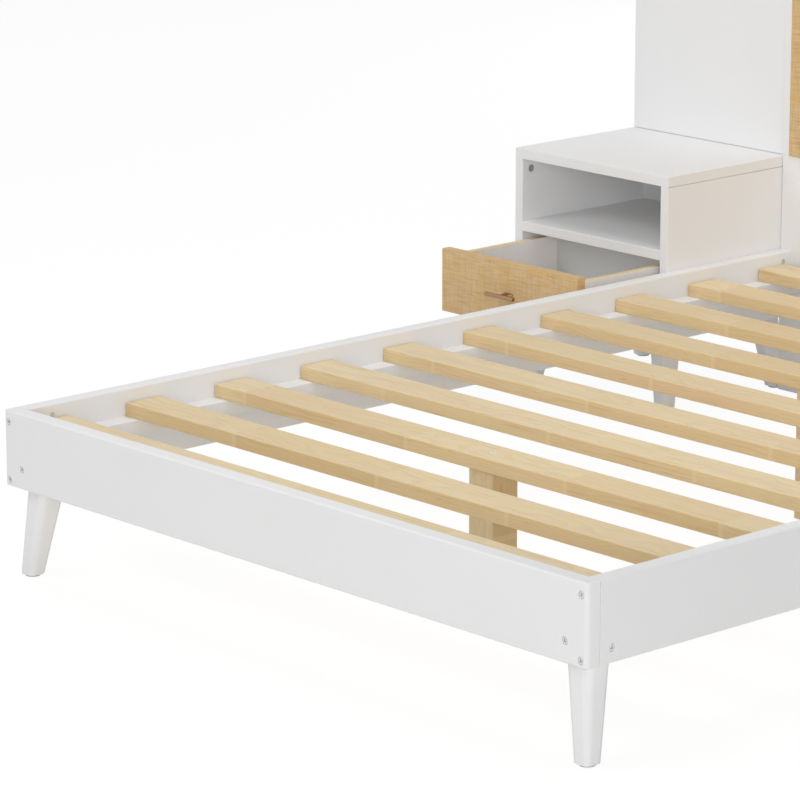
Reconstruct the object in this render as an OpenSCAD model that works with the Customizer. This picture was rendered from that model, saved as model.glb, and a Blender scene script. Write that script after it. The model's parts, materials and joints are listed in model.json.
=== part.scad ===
// Low platform bed with a slatted deck, a wide headboard and a nightstand with a drawer on each side.
// Frame: X across the bed, Y from the foot board to the headboard, Z up, in millimetres.
// The origin lies on the floor, under the middle of the whole object.

/* [Bed frame] */
// Outer width of the bed frame over both side rails
bed_w = 1435; // [1100:1:1700]
// Length from the front of the foot board to the front of the headboard
deck_len = 1984; // [1900:1:2100]
// Height of the rails' top edge above the floor
rail_top = 300; // [270:1:400]
// Height of the side rails and the foot board
rail_h = 136; // [125:1:160]
// Thickness of the side rails
rail_t = 28; // [24:1:34]
// Thickness of the foot board
foot_t = 28; // [24:1:34]
// Radius of the eased long edges of painted boards
edge_r = 2.5; // [1:0.5:4]

/* [Slats] */
// Width of a slat
slat_w = 76; // [60:1:110]
// Thickness of a slat
slat_t = 25; // [18:1:30]
// Depth of the slats' top faces below the rails' top edge
slat_drop = 25; // [15:1:34]
// Gap between the foot board and the first slat
slat_first_gap = 14; // [8:1:30]
// Gap between the last slat and the headboard
slat_last_gap = 21; // [10:1:40]
// Clearance between a slat's end and the rail beside it
slat_end_clear = 2; // [1:0.5:5]
// Radius of a slat's eased long edges
slat_edge_r = 3; // [1:0.5:5]
// Width of the ledger strip that carries the slats
ledger_w = 35; // [20:1:50]
// Height of the ledger strip
ledger_h = 30; // [20:1:34]
// Side of the square centre posts under the slats
post_side = 59; // [40:1:70]

/* [Legs] */
// Side of a tapered leg at its shoulder
leg_top = 54; // [42:1:56]
// Side of a tapered leg at its foot
leg_bottom = 34; // [28:1:40]
// Corner radius of a tapered leg at its shoulder
leg_top_r = 16; // [6:1:18]
// Corner radius of a tapered leg at its foot
leg_bottom_r = 10; // [5:1:13]
// Distance from a nightstand's corner to its leg's centre, along each side
leg_inset = 48; // [44:1:60]
// Distance from the bed's side to the centre of a front leg's shoulder
bed_leg_side = 50; // [44:1:60]
// Distance from the bed's front to the centre of a front leg's shoulder
bed_leg_front = 53; // [44:1:60]
// How far a leg's foot leans outwards along each side
leg_splay = 20; // [5:1:24]
// Side of the square block that stands inside the frame's corner
leg_block = 40; // [34:1:44]
// Height of that block above the leg's shoulder
leg_block_h = 54; // [40:1:55]
// Thickness of the glides under the feet
glide_t = 3; // [2:0.5:6]
// Diameter of the glides
glide_d = 26; // [16:1:28]

/* [Headboard] */
// Height of the headboard above the floor
headboard_h = 1040; // [950:1:1250]
// Width of the two headboard posts
headpost_w = 70; // [60:1:100]
// Depth of the two headboard posts
headpost_d = 50; // [44:1:70]
// Thickness of the white panel between the posts
head_panel_t = 21; // [15:1:24]
// Height of the rail along the headboard's top
top_rail_h = 60; // [40:1:90]
// Thickness of the rail between the posts at mattress height
low_rail_t = 28; // [24:1:36]
// Thickness of the woven panel on the headboard's front
weave_t = 4; // [3:0.5:8]
// White border beside and above the woven panel
weave_border = 20; // [12:1:60]
// Height of the woven panel's lower edge above the floor
weave_bottom = 495; // [440:1:560]
// Thickness of the two wings
wing_t = 21; // [18:1:26]
// How far the wings stand back from the front of the headboard
wing_setback = 13; // [5:1:16]

/* [Nightstand] */
// Width of a nightstand
stand_w = 436; // [380:1:520]
// Depth of a nightstand, from its front to the back of the headboard
stand_d = 383; // [370:1:430]
// Height of a nightstand's top above the floor
stand_h = 491; // [470:1:540]
// Thickness of a nightstand's boards
stand_t = 21; // [18:1:25]
// Height of a nightstand's lower face above the floor
stand_base = 162; // [150:1:175]
// Height of the open compartment
compartment_h = 130; // [100:1:140]
// Thickness of a nightstand's back panel
back_t = 12; // [9:1:15]
// How far the back panel stands in from the rear edges
back_recess = 15; // [10:1:20]
// Radius of the eased edges of a nightstand's boards
stand_edge_r = 1.5; // [0.5:0.5:3]

/* [Drawer] */
// Gap between the drawer front and the side boards
front_side_gap = 2; // [1:0.5:4]
// Gap above and below the drawer front
front_gap = 3; // [2:0.5:5]
// Thickness of the drawer front
front_t = 22; // [16:1:26]
// Length of the drawer box behind its front
box_len = 295; // [270:1:305]
// Height of the drawer box
box_h = 108; // [85:1:110]
// Depth of the box's top edge below the top of the drawer front
box_drop = 12; // [8:1:20]
// Thickness of the box's sides and back
box_t = 13; // [10:1:16]
// Thickness of the drawer bottom
bottom_t = 5; // [4:0.5:8]
// Depth of the groove that holds the drawer bottom
groove_d = 6; // [4:0.5:8]
// Height of the groove above the box's lower edge
groove_lift = 8; // [6:1:14]
// How far a drawer slides from closed to fully open
drawer_travel = 228; // [150:1:228]
// How far the left drawer stands open
left_open = 228; // [0:1:228]
// How far the right drawer stands open
right_open = 0; // [0:1:228]

/* [Drawer slides] */
// Width of the gap that a slide fills
slide_gap = 12.7; // [12.2:0.1:13.5]
// Height of the slide's fixed channel
slide_h = 42; // [40:0.5:46]
// Length of the fixed channel
slide_len = 300; // [290:1:305]
// Thickness of the slide's steel
steel_t = 1.2; // [1:0.1:1.4]
// Diameter of the bearing balls
ball_d = 6; // [5.6:0.1:6.2]
// Clearance on each side of a ball
ball_clear = 0.4; // [0.3:0.05:0.5]
// Length of a ball cage
cage_len = 60; // [50:1:62]
// Diameter of the slide screws' shanks
screw_d = 3.5; // [3:0.1:4]
// Diameter of the slide screws' countersunk heads
screw_head_d = 7; // [6:0.5:8]
// Length of the slide screws
screw_len = 11; // [9:0.5:12]
// Distance of a slide screw from the end of its channel or runner
screw_inset = 30; // [20:1:60]

/* [Drawer pull] */
// Length of the pull's bar
pull_len = 80; // [60:1:130]
// Diameter of the pull's bar
pull_d = 9; // [7:0.5:12]
// Distance from the drawer front to the bar's centre line
pull_reach = 25; // [20:1:35]
// Width of the pull's foot on the drawer front
pull_foot_w = 28; // [20:1:40]
// Height of the pull's foot before it narrows to the neck
pull_foot_h = 2; // [1:0.5:4]
// Width of the pull's neck at the bar
pull_neck_w = 16; // [10:1:20]
// Thickness of the web from foot to neck
pull_web_t = 8; // [7:0.5:9]
// Diameter of the pull's screw
pull_screw_d = 4; // [3:0.5:5]
// Diameter of the pull screw's head inside the drawer
pull_screw_head_d = 8; // [7:0.5:10]
// Height of the pull screw's head
pull_screw_head_h = 2.5; // [2:0.5:3]
// Depth of the pull's screw in the stem
pull_screw_in = 9; // [6:0.5:12]

/* [Fasteners] */
// Diameter of the connector bolts' shanks
bolt_d = 6; // [5:0.5:7]
// Diameter of the connector bolts' heads
bolt_head_d = 12; // [11:0.5:13]
// Height of the connector bolts' heads
bolt_head_h = 4; // [3:0.5:5]
// Depth of the bolt heads below the face
bolt_recess = 1; // [0.5:0.5:3]
// Distance of the upper bolts from the rail's top edge
bolt_from_top = 20.5; // [16:0.5:24]
// Distance of the lower bolts from the rail's bottom edge
bolt_from_bottom = 12; // [10:0.5:18]
// Diameter of the barrel nuts
nut_d = 10; // [9:0.5:12]
// Length of the barrel nuts
nut_len = 16; // [12:1:18]
// Distance from a rail's foot end to its barrel nuts
nut_foot_dist = 57; // [30:1:70]
// Distance from a rail's head end to its barrel nuts
nut_head_dist = 21; // [18:1:40]
// Diameter of the cam locks
cam_d = 15; // [12:0.5:16]
// Depth of the cam locks
cam_depth = 12.5; // [11:0.5:14]
// Distance from a cam lock's centre to the joint that it pulls together
cam_dist = 22.5; // [20:0.5:28]
// Distance of the front cam locks from the nightstand's front
cam_front = 25; // [20:1:60]
// Distance of the rear cam locks from the nightstand's back
cam_rear = 60; // [45:1:90]
// Distance of a wing's lower bolt above the nightstand's top
wing_bolt_low = 110; // [60:1:180]
// Distance of a wing's upper bolt below its top edge
wing_bolt_high = 130; // [60:1:180]
// Distance of the low rail's bolts from its top and bottom edges
low_bolt_inset = 45; // [30:1:60]
// Length of a bolt beyond the barrel nut that it pulls on
bolt_past_nut = 8; // [6:1:12]
// Height above the rails' lower edge of the bolts that hold the front legs from the front
leg_bolt_front_h = 36; // [34:1:44]
// Height above the rails' lower edge of the bolts that hold the front legs from the side
leg_bolt_side_h = 25; // [21:1:26]
// Distance of those side bolts behind the middle of the leg's block
leg_bolt_side_back = 5; // [0:1:8]
// Length of a headboard bolt beyond the post that it passes through
tie_bolt_grip = 45; // [30:1:60]

/* [Hidden] */
$fn = 48;
// Clearance between seated pieces that aren't face to face
fit = 0.3;
// Small overlap that keeps a cut clear of the face that it starts from
cut = 1;
slat_count = 10;
slats_on_posts = [3, 7];

total_len = deck_len + headpost_d;
x_bed = -bed_w / 2;
y_foot = -total_len / 2;
y_back = total_len / 2;
y_head = y_foot + deck_len;
rail_bottom = rail_top - rail_h;
rail_len = deck_len - foot_t;
slat_top = rail_top - slat_drop;
slat_bottom = slat_top - slat_t;
ledger_bottom = slat_bottom - ledger_h;
slat_len = bed_w - 2 * rail_t - 2 * slat_end_clear;
slat_pitch = (rail_len - slat_first_gap - slat_last_gap - slat_w) / (slat_count - 1);
head_inner_w = bed_w - 2 * headpost_w;
weave_w = bed_w - 2 * weave_border;
weave_h = headboard_h - weave_border - weave_bottom;

x_stand = x_bed - stand_w;
x_inner = x_stand + stand_t;
stand_inner_w = stand_w - 2 * stand_t;
y_stand = y_back - stand_d;
top_under = stand_h - stand_t;
shelf_top = top_under - compartment_h;
shelf_under = shelf_top - stand_t;
floor_top = stand_base + stand_t;
side_h = top_under - stand_base;
y_back_panel = y_back - back_recess - back_t;

front_w = stand_inner_w - 2 * front_side_gap;
front_bottom = floor_top + front_gap;
front_top = shelf_under - front_gap;
front_h = front_top - front_bottom;
box_w = stand_inner_w - 2 * slide_gap;
box_top = front_top - box_drop;
box_bottom = box_top - box_h;
x_box = x_inner + slide_gap;
x_mid = x_stand + stand_w / 2;
groove_h = bottom_t + 2 * fit;
bottom_z = box_bottom + groove_lift + fit;

runner_clear = 1;
runner_y = y_stand + front_t + runner_clear;
channel_y = runner_y + runner_clear;
slide_z = box_top - box_h / 2;
runner_len = min(box_len, slide_len) - 2 * runner_clear;
runner_half = slide_h / 2 - steel_t - ball_d - 2 * ball_clear;
flange_w = 9;
cage_t = 0.8;
cage_start = steel_t + 0.4;
cage_w = 9.5;
cage_v = runner_half + ball_clear + ball_d / 2;
ball_u = cage_start + cage_w / 2;
ball_rows = 4;
ball_pitch = cage_len / ball_rows;
ball_hole_d = ball_d + 0.5;

bore_d = bolt_d + 0.4;
head_bore_d = bolt_head_d + 1;
socket_af = 5;
post_head_d = 12;
post_head_h = 2;
post_bolt_len = 70;
bolt_z = [rail_top - bolt_from_top, rail_bottom + bolt_from_bottom];
leg_bolt_z_front = rail_bottom + leg_bolt_front_h;
leg_bolt_z_side = rail_bottom + leg_bolt_side_h;
leg_bolt_in = rail_t + leg_block / 2;
leg_bolt_len = 50;
wing_bolt_z = [stand_h + wing_bolt_low, headboard_h - wing_bolt_high];
wing_bolt_y = y_head + wing_setback + wing_t / 2;
wing_nut_dist = 30;
low_bolt_z = [rail_top - low_bolt_inset, rail_bottom + low_bolt_inset];
low_bolt_y = y_head + low_rail_t / 2;
top_bolt_y = y_head + headpost_d / 2;
top_bolt_z = headboard_h - top_rail_h / 2;
tie_bolt_len = headpost_w + tie_bolt_grip;
cam_clear = 0.2;
screw_clear = 0.1;
cam_pin_d = 6;
cam_pin_in = 11;

TO_PX = [0, 90, 0];
TO_NX = [0, -90, 0];
TO_PY = [-90, 0, 0];
TO_NY = [90, 0, 0];
TO_DOWN = [180, 0, 0];

white = "#e4e3e0";
pine = "#d8c193";
weave = "#caa972";
copper = "#a67862";
zinc = "#b9b7b2";
grey = "#6d6c6a";

// Connector bolts: place of the head's outer face, direction of the shank, length
RAIL_BOLTS = [
    for (side = [-1, 1]) for (z = bolt_z) each [
        [[side * (bed_w - rail_t) / 2, y_foot, z], TO_PY, foot_t + nut_foot_dist + bolt_past_nut],
        [[side * (bed_w - rail_t) / 2, y_back, z], TO_NY, headpost_d + nut_head_dist + bolt_past_nut]
    ]
];
LEG_BOLTS = [
    for (side = [-1, 1]) each [
        [[side * (bed_w / 2 - leg_bolt_in), y_foot, leg_bolt_z_front], TO_PY, leg_bolt_len],
        [[side * bed_w / 2, y_foot + foot_t + leg_block / 2 + leg_bolt_side_back, leg_bolt_z_side],
            side < 0 ? TO_PX : TO_NX, leg_bolt_len]
    ]
];
HEAD_BOLTS = [
    for (side = [-1, 1]) each [
        for (z = low_bolt_z) [[side * bed_w / 2, low_bolt_y, z], side < 0 ? TO_PX : TO_NX, tie_bolt_len],
        [[side * bed_w / 2, top_bolt_y, top_bolt_z], side < 0 ? TO_PX : TO_NX, tie_bolt_len],
        for (z = wing_bolt_z) [[side * head_inner_w / 2, wing_bolt_y, z],
            side < 0 ? TO_NX : TO_PX, headpost_w + wing_nut_dist + bolt_past_nut]
    ]
];
STAND_BOLTS = [
    for (side = [-1, 1]) for (c = [[0, 0], [1, 0], [0, 1], [1, 1]])
        [[side * abs(stand_leg_x(c[0])), stand_leg_y(c[1]), floor_top], TO_DOWN, leg_bolt_len]
];
BOLTS = concat(RAIL_BOLTS, LEG_BOLTS, HEAD_BOLTS, STAND_BOLTS);

// Barrel nuts: centre of the outer end, direction into the board
NUTS = [
    for (side = [-1, 1]) each [
        for (z = bolt_z) each [
            [[side * (bed_w / 2 - rail_t), y_foot + foot_t + nut_foot_dist, z], side < 0 ? TO_NX : TO_PX],
            [[side * (bed_w / 2 - rail_t), y_head - nut_head_dist, z], side < 0 ? TO_NX : TO_PX]
        ],
        for (z = wing_bolt_z)
            [[side * (bed_w / 2 + wing_nut_dist), y_head + wing_setback + wing_t, z], TO_NY]
    ]
];

function stand_leg_x(inner) = inner == 1 ? x_bed - leg_inset : x_stand + leg_inset;
function stand_leg_y(rear) = rear == 1 ? y_back - leg_inset : y_stand + leg_inset;
function slat_y(i) = y_foot + foot_t + slat_first_gap + (i - 1) * slat_pitch;
function open_by(side) = side < 0 ? left_open : right_open;

// Rounded rectangle with true arcs, from the origin into the first quadrant
module round_rect(a, b, r) {
    translate([r, 0]) square([a - 2 * r, b]);
    translate([0, r]) square([a, b - 2 * r]);
    for (x = [r, a - r]) for (y = [r, b - r]) translate([x, y]) circle(r = r);
}

// Boards with the edges along X, Y or Z eased
module beam_x(p, s, r) {
    translate(p) rotate([90, 0, 90]) linear_extrude(s[0]) round_rect(s[1], s[2], r);
}
module beam_y(p, s, r) {
    translate(p + [0, s[1], 0]) rotate([90, 0, 0]) linear_extrude(s[1]) round_rect(s[0], s[2], r);
}
module beam_z(p, s, r) {
    translate(p) linear_extrude(s[2]) round_rect(s[0], s[1], r);
}

// The left half is drawn; the right half is its mirror image
module on_side(side) {
    if (side < 0) children();
    else mirror([1, 0, 0]) children();
}

// Bolt along +Z with its head's face at the origin, seated one recess deep
module bolt(len) {
    difference() {
        union() {
            translate([0, 0, bolt_recess]) cylinder(d = bolt_head_d, h = bolt_head_h);
            translate([0, 0, bolt_recess]) cylinder(d = bolt_d, h = len - bolt_recess);
        }
        translate([0, 0, bolt_recess - cut])
            cylinder(d = socket_af / cos(30), h = bolt_head_h * 0.7 + cut, $fn = 6);
    }
}
module bolt_bore(len) {
    translate([0, 0, -cut]) cylinder(d = head_bore_d, h = bolt_recess + bolt_head_h + cut);
    cylinder(d = bore_d, h = len + 2);
}
module bolt_bores() {
    for (b = BOLTS) translate(b[0]) rotate(b[1]) bolt_bore(b[2]);
}
module nut_bores() {
    for (n = NUTS) translate(n[0]) rotate(n[1])
        translate([0, 0, -cut]) cylinder(d = nut_d + 2 * fit, h = nut_len + fit + cut);
}
module bored() {
    difference() {
        children();
        bolt_bores();
        nut_bores();
    }
}

// Flat-headed bolt that holds a slat to its centre post
module post_bolt(i) {
    translate([0, slat_y(i) + slat_w / 2, slat_top]) rotate(TO_DOWN) difference() {
        union() {
            cylinder(d = post_head_d, h = post_head_h);
            cylinder(d = bolt_d, h = post_bolt_len);
        }
        translate([0, 0, -cut]) cylinder(d = socket_af / cos(30), h = post_head_h * 0.8 + cut, $fn = 6);
    }
}
module post_bores() {
    for (i = slats_on_posts) translate([0, slat_y(i) + slat_w / 2, slat_top]) rotate(TO_DOWN) {
        translate([0, 0, -cut]) cylinder(d = post_head_d + 2 * fit, h = post_head_h + cut);
        cylinder(d = bore_d, h = post_bolt_len + 2);
    }
}

// Cam lock at the origin, its face up, pulling along +X to a joint at cam_dist
module cam_unit() {
    difference() {
        translate([0, 0, -cam_depth]) cylinder(d = cam_d, h = cam_depth);
        for (a = [0, 90]) rotate([0, 0, a]) translate([-cam_d * 0.32, -0.9, -2])
            cube([cam_d * 0.64, 1.8, 2 + cut]);
        translate([0, 0, -stand_t / 2]) rotate(TO_PX) cylinder(d = cam_pin_d + 1, h = cam_d);
    }
    translate([0, 0, -stand_t / 2]) rotate(TO_PX) translate([0, 0, 1])
        cylinder(d = cam_pin_d, h = cam_dist + cam_pin_in - 1);
}
module cam_unit_bore() {
    translate([0, 0, -cam_depth - cam_clear])
        cylinder(d = cam_d + 2 * cam_clear, h = cam_depth + cam_clear + cut);
    translate([0, 0, -stand_t / 2]) rotate(TO_PX)
        cylinder(d = cam_pin_d + 2 * cam_clear, h = cam_dist + cam_pin_in + cam_clear);
}
// Places every cam lock of the left nightstand: on the sides under the top, and under each shelf
module at_cams() {
    for (y = [y_stand + cam_front, y_back - cam_rear]) {
        translate([x_inner, y, top_under - cam_dist]) rotate([0, 90, 0]) rotate([0, 0, 180]) children();
        translate([x_bed - stand_t, y, top_under - cam_dist]) rotate([0, -90, 0]) children();
        for (z = [shelf_under, stand_base]) {
            translate([x_inner + cam_dist, y, z]) rotate([180, 0, 180]) children();
            translate([x_bed - stand_t - cam_dist, y, z]) rotate([180, 0, 0]) children();
        }
    }
}
module cammed() {
    difference() {
        children();
        at_cams() cam_unit_bore();
    }
}

module foot_board() {
    color(white) bored() beam_x([x_bed, y_foot, rail_bottom], [bed_w, foot_t, rail_h], edge_r);
}

module side_rail(side) {
    color(white) on_side(side) bored()
        beam_y([x_bed, y_foot + foot_t, rail_bottom], [rail_t, rail_len, rail_h], edge_r);
}

module ledger(side) {
    color(white) on_side(side)
        beam_y([x_bed + rail_t, y_foot + foot_t, ledger_bottom], [ledger_w, rail_len, ledger_h], edge_r);
}

module slat(i) {
    color(pine) difference() {
        beam_x([-slat_len / 2, slat_y(i), slat_bottom], [slat_len, slat_w, slat_t], slat_edge_r);
        post_bores();
    }
}

module centre_post(i) {
    color(pine) difference() {
        beam_z([-post_side / 2, slat_y(i) + (slat_w - post_side) / 2, glide_t],
            [post_side, post_side, slat_bottom - glide_t], edge_r);
        post_bores();
    }
}

// Rounded square slab, centred, that a leg's hull spans
module leg_slab(side, r) {
    translate([-side / 2, -side / 2, 0]) linear_extrude(0.5) round_rect(side, side, r);
}
// Tapered leg whose shoulder is centred on the origin at height h, leaning to [sx, sy]
module tapered_leg(h, sx, sy) {
    hull() {
        translate([0, 0, h - 0.5]) leg_slab(leg_top, leg_top_r, $fn = 32);
        translate([sx * leg_splay, sy * leg_splay, glide_t]) leg_slab(leg_bottom, leg_bottom_r, $fn = 32);
    }
}

module front_leg(side) {
    color(white) on_side(side) bored() union() {
        translate([x_bed + bed_leg_side, y_foot + bed_leg_front, 0]) tapered_leg(rail_bottom, -1, -1);
        beam_z([x_bed + rail_t, y_foot + foot_t, rail_bottom - 0.2],
            [leg_block, leg_block, leg_block_h + 0.2], edge_r);
    }
}

module headboard_post(side) {
    color(white) on_side(side) bored()
        beam_z([x_bed, y_head, glide_t], [headpost_w, headpost_d, headboard_h - glide_t], edge_r);
}

module headboard_top_rail() {
    color(white) bored() beam_x([-head_inner_w / 2, y_head, headboard_h - top_rail_h],
        [head_inner_w, headpost_d, top_rail_h], edge_r);
}

module headboard_low_rail() {
    color(white) bored() beam_x([-head_inner_w / 2, y_head, rail_bottom],
        [head_inner_w, low_rail_t, rail_h], edge_r);
}

module headboard_panel() {
    color(white) translate([-head_inner_w / 2, y_head, rail_top])
        cube([head_inner_w, head_panel_t, headboard_h - top_rail_h - rail_top]);
}

module woven_panel() {
    color(weave) translate([-weave_w / 2, y_head - weave_t, weave_bottom]) cube([weave_w, weave_t, weave_h]);
}

module wing(side) {
    color(white) on_side(side) bored()
        beam_z([x_stand, y_head + wing_setback, stand_h], [stand_w, wing_t, headboard_h - stand_h], edge_r);
}

module stand_top(side) {
    color(white) on_side(side) cammed()
        beam_x([x_stand, y_stand, top_under], [stand_w, stand_d, stand_t], stand_edge_r);
}

module stand_side(side, inner) {
    x = inner ? x_bed - stand_t : x_stand;
    color(white) on_side(side) cammed() difference() {
        beam_z([x, y_stand, stand_base], [stand_t, stand_d, side_h], stand_edge_r);
        at_slides(channel_y) channel_screws(screw_clear);
    }
}

module stand_shelf(side) {
    color(white) on_side(side) cammed()
        beam_x([x_inner, y_stand, shelf_under], [stand_inner_w, stand_d - back_recess - back_t, stand_t],
            stand_edge_r);
}

module stand_floor(side) {
    color(white) on_side(side) cammed() bored()
        beam_x([x_inner, y_stand, stand_base], [stand_inner_w, stand_d - back_recess - back_t, stand_t],
            stand_edge_r);
}

module stand_back(side) {
    color(white) on_side(side) translate([x_inner, y_back_panel, stand_base])
        cube([stand_inner_w, back_t, side_h]);
}

module stand_legs(side) {
    color(white) on_side(side) bored() for (inner = [0, 1]) for (rear = [0, 1])
        translate([stand_leg_x(inner), stand_leg_y(rear), 0])
            tapered_leg(stand_base, 2 * inner - 1, 2 * rear - 1);
}

// Everything of a drawer is drawn closed and then slid out
module slid(side, share = 1) {
    translate([0, -open_by(side) * share, 0]) on_side(side) children();
}

module drawer_front(side) {
    color(weave) slid(side) difference() {
        beam_x([x_inner + front_side_gap, y_stand, front_bottom], [front_w, front_t, front_h], stand_edge_r);
        translate([x_box + box_t - groove_d, y_stand + front_t - groove_d, box_bottom + groove_lift])
            cube([box_w - 2 * box_t + 2 * groove_d, groove_d + cut, groove_h]);
        translate([x_mid, y_stand - cut, front_bottom + front_h / 2]) rotate(TO_PY)
            cylinder(d = pull_screw_d + 0.4, h = front_t + 2 * cut);
    }
}

module drawer_side_board(x, groove_x) {
    difference() {
        beam_y([x, y_stand + front_t, box_bottom], [box_t, box_len, box_h], stand_edge_r);
        translate([groove_x, y_stand + front_t - cut, box_bottom + groove_lift])
            cube([groove_d + cut, box_len + 2 * cut, groove_h]);
        at_slides(runner_y) runner_screws(screw_clear);
    }
}
module drawer_sides(side) {
    color(pine) slid(side) {
        drawer_side_board(x_box, x_box + box_t - groove_d);
        drawer_side_board(x_box + box_w - box_t, x_box + box_w - box_t - cut);
    }
}

module drawer_back(side) {
    z = bottom_z + bottom_t + fit;
    color(pine) slid(side) translate([x_box + box_t, y_stand + front_t + box_len - box_t, z])
        cube([box_w - 2 * box_t, box_t, box_top - z]);
}

module drawer_bottom(side) {
    reach = groove_d - fit;
    color(white) slid(side) translate([x_box + box_t - reach, y_stand + front_t - reach, bottom_z])
        cube([box_w - 2 * box_t + 2 * reach, box_len + reach, bottom_t]);
}

// Bar on a single waisted web, with the screw that comes through the drawer front
module drawer_pull(side) {
    color(copper) slid(side) translate([x_mid, y_stand, front_bottom + front_h / 2]) {
        difference() {
            union() {
                translate([-pull_len / 2, -pull_reach, 0]) rotate(TO_PX) cylinder(d = pull_d, h = pull_len);
                translate([0, 0, -pull_web_t / 2]) linear_extrude(pull_web_t) polygon([
                    [-pull_neck_w / 2, -pull_reach], [-pull_neck_w / 2, -pull_reach / 2],
                    [-pull_foot_w / 2, -pull_foot_h], [-pull_foot_w / 2, 0],
                    [pull_foot_w / 2, 0], [pull_foot_w / 2, -pull_foot_h],
                    [pull_neck_w / 2, -pull_reach / 2], [pull_neck_w / 2, -pull_reach]
                ]);
            }
            translate([0, cut, 0]) rotate(TO_NY)
                cylinder(d = pull_screw_d + screw_clear, h = pull_screw_in + 2 * cut);
        }
        translate([0, front_t + pull_screw_head_h, 0]) rotate(TO_NY) {
            cylinder(d = pull_screw_head_d, h = pull_screw_head_h);
            cylinder(d = pull_screw_d, h = pull_screw_head_h + front_t + pull_screw_in);
        }
    }
}

// Places a slide's section on each side of the box: u away from the nightstand's board, v up, then back
module at_slides(y) {
    for (m = [0, 1]) translate([m == 0 ? x_inner : x_bed - stand_t, y, slide_z])
        mirror([m, 0, 0]) children();
}
// Extrudes a section drawn in u and v along +Y
module section(len) {
    translate([0, len, 0]) rotate([90, 0, 0]) linear_extrude(len) children();
}

// Countersunk screw along +Z with its head's face at the origin
module countersunk(clear) {
    cylinder(d1 = screw_head_d + 2 * clear, d2 = screw_d + 2 * clear, h = (screw_head_d - screw_d) / 2);
    cylinder(d = screw_d + 2 * clear, h = screw_len + clear);
}
// Screws from a channel into the nightstand's side, and from a runner into the drawer's side
module channel_screws(clear = 0) {
    for (y = [screw_inset, slide_len - screw_inset])
        translate([steel_t, y, 0]) rotate(TO_NX) countersunk(clear);
}
module runner_screws(clear = 0) {
    for (y = [screw_inset, runner_len - screw_inset])
        translate([slide_gap - steel_t, y, 0]) rotate(TO_PX) countersunk(clear);
}

module slide_channels() {
    color(zinc) for (side = [-1, 1]) on_side(side) at_slides(channel_y) {
        difference() {
            section(slide_len) difference() {
                translate([0, -slide_h / 2]) square([flange_w, slide_h]);
                translate([steel_t, steel_t - slide_h / 2]) square([flange_w, slide_h - 2 * steel_t]);
            }
            channel_screws(screw_clear);
        }
        channel_screws();
    }
}

module slide_runners(side) {
    color(zinc) slid(side) at_slides(runner_y) {
        difference() {
            section(runner_len) difference() {
                translate([slide_gap - flange_w, -runner_half]) square([flange_w, 2 * runner_half]);
                translate([slide_gap - flange_w - steel_t, steel_t - runner_half])
                    square([flange_w, 2 * runner_half - 2 * steel_t]);
            }
            runner_screws(screw_clear);
        }
        runner_screws();
    }
}

// Ball cages run at half the drawer's travel
module slide_cages(side) {
    y = channel_y + runner_clear + drawer_travel / 2;
    color(grey) slid(side, 0.5) at_slides(y) {
        difference() {
            section(cage_len) difference() {
                translate([cage_start, -cage_v - cage_t / 2]) square([cage_w, 2 * cage_v + cage_t]);
                translate([cage_start + cage_t, cage_t / 2 - cage_v]) square([cage_w, 2 * cage_v - cage_t]);
            }
            for (k = [0:ball_rows - 1]) for (v = [-1, 1])
                translate([ball_u, (k + 0.5) * ball_pitch, v * cage_v - cage_t])
                    cylinder(d = ball_hole_d, h = 2 * cage_t);
        }
        for (k = [0:ball_rows - 1]) for (v = [-1, 1])
            translate([ball_u, (k + 0.5) * ball_pitch, v * cage_v]) sphere(d = ball_d, $fn = 24);
    }
}

module frame_bolts() {
    color(zinc) {
        for (b = BOLTS) translate(b[0]) rotate(b[1]) bolt(b[2]);
        for (i = slats_on_posts) post_bolt(i);
    }
}

module barrel_nuts() {
    color(zinc) difference() {
        for (n = NUTS) translate(n[0]) rotate(n[1]) cylinder(d = nut_d, h = nut_len);
        for (b = BOLTS) translate(b[0]) rotate(b[1]) cylinder(d = bolt_d + 0.1, h = b[2] + 2);
    }
}

module cam_locks() {
    color(zinc) for (side = [-1, 1]) on_side(side) at_cams() cam_unit();
}

module glide(x, y) {
    translate([x, y, 0]) cylinder(d = glide_d, h = glide_t);
}
module foot_glides() {
    color(grey) {
        for (side = [-1, 1]) on_side(side) {
            glide(x_bed + bed_leg_side - leg_splay, y_foot + bed_leg_front - leg_splay);
            glide(x_bed + headpost_w / 2, y_head + headpost_d / 2);
            for (inner = [0, 1]) for (rear = [0, 1])
                glide(stand_leg_x(inner) + (2 * inner - 1) * leg_splay,
                    stand_leg_y(rear) + (2 * rear - 1) * leg_splay);
        }
        for (i = slats_on_posts) glide(0, slat_y(i) + slat_w / 2);
    }
}

foot_board();
side_rail(-1);  // left_side_rail
side_rail(1);  // right_side_rail
ledger(-1);  // left_ledger
ledger(1);  // right_ledger
slat(1);  // slat_01
slat(2);  // slat_02
slat(3);  // slat_03
slat(4);  // slat_04
slat(5);  // slat_05
slat(6);  // slat_06
slat(7);  // slat_07
slat(8);  // slat_08
slat(9);  // slat_09
slat(10);  // slat_10
front_leg(-1);  // front_left_leg
front_leg(1);  // front_right_leg
centre_post(slats_on_posts[0]);  // centre_post_front
centre_post(slats_on_posts[1]);  // centre_post_rear
headboard_post(-1);  // headboard_left_post
headboard_post(1);  // headboard_right_post
headboard_top_rail();
headboard_low_rail();
headboard_panel();
woven_panel();
wing(-1);  // left_wing
wing(1);  // right_wing
stand_top(-1);  // left_stand_top
stand_side(-1, false);  // left_stand_outer_side
stand_side(-1, true);  // left_stand_inner_side
stand_shelf(-1);  // left_stand_shelf
stand_floor(-1);  // left_stand_floor
stand_back(-1);  // left_stand_back
stand_legs(-1);  // left_stand_legs
stand_top(1);  // right_stand_top
stand_side(1, false);  // right_stand_outer_side
stand_side(1, true);  // right_stand_inner_side
stand_shelf(1);  // right_stand_shelf
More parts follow.
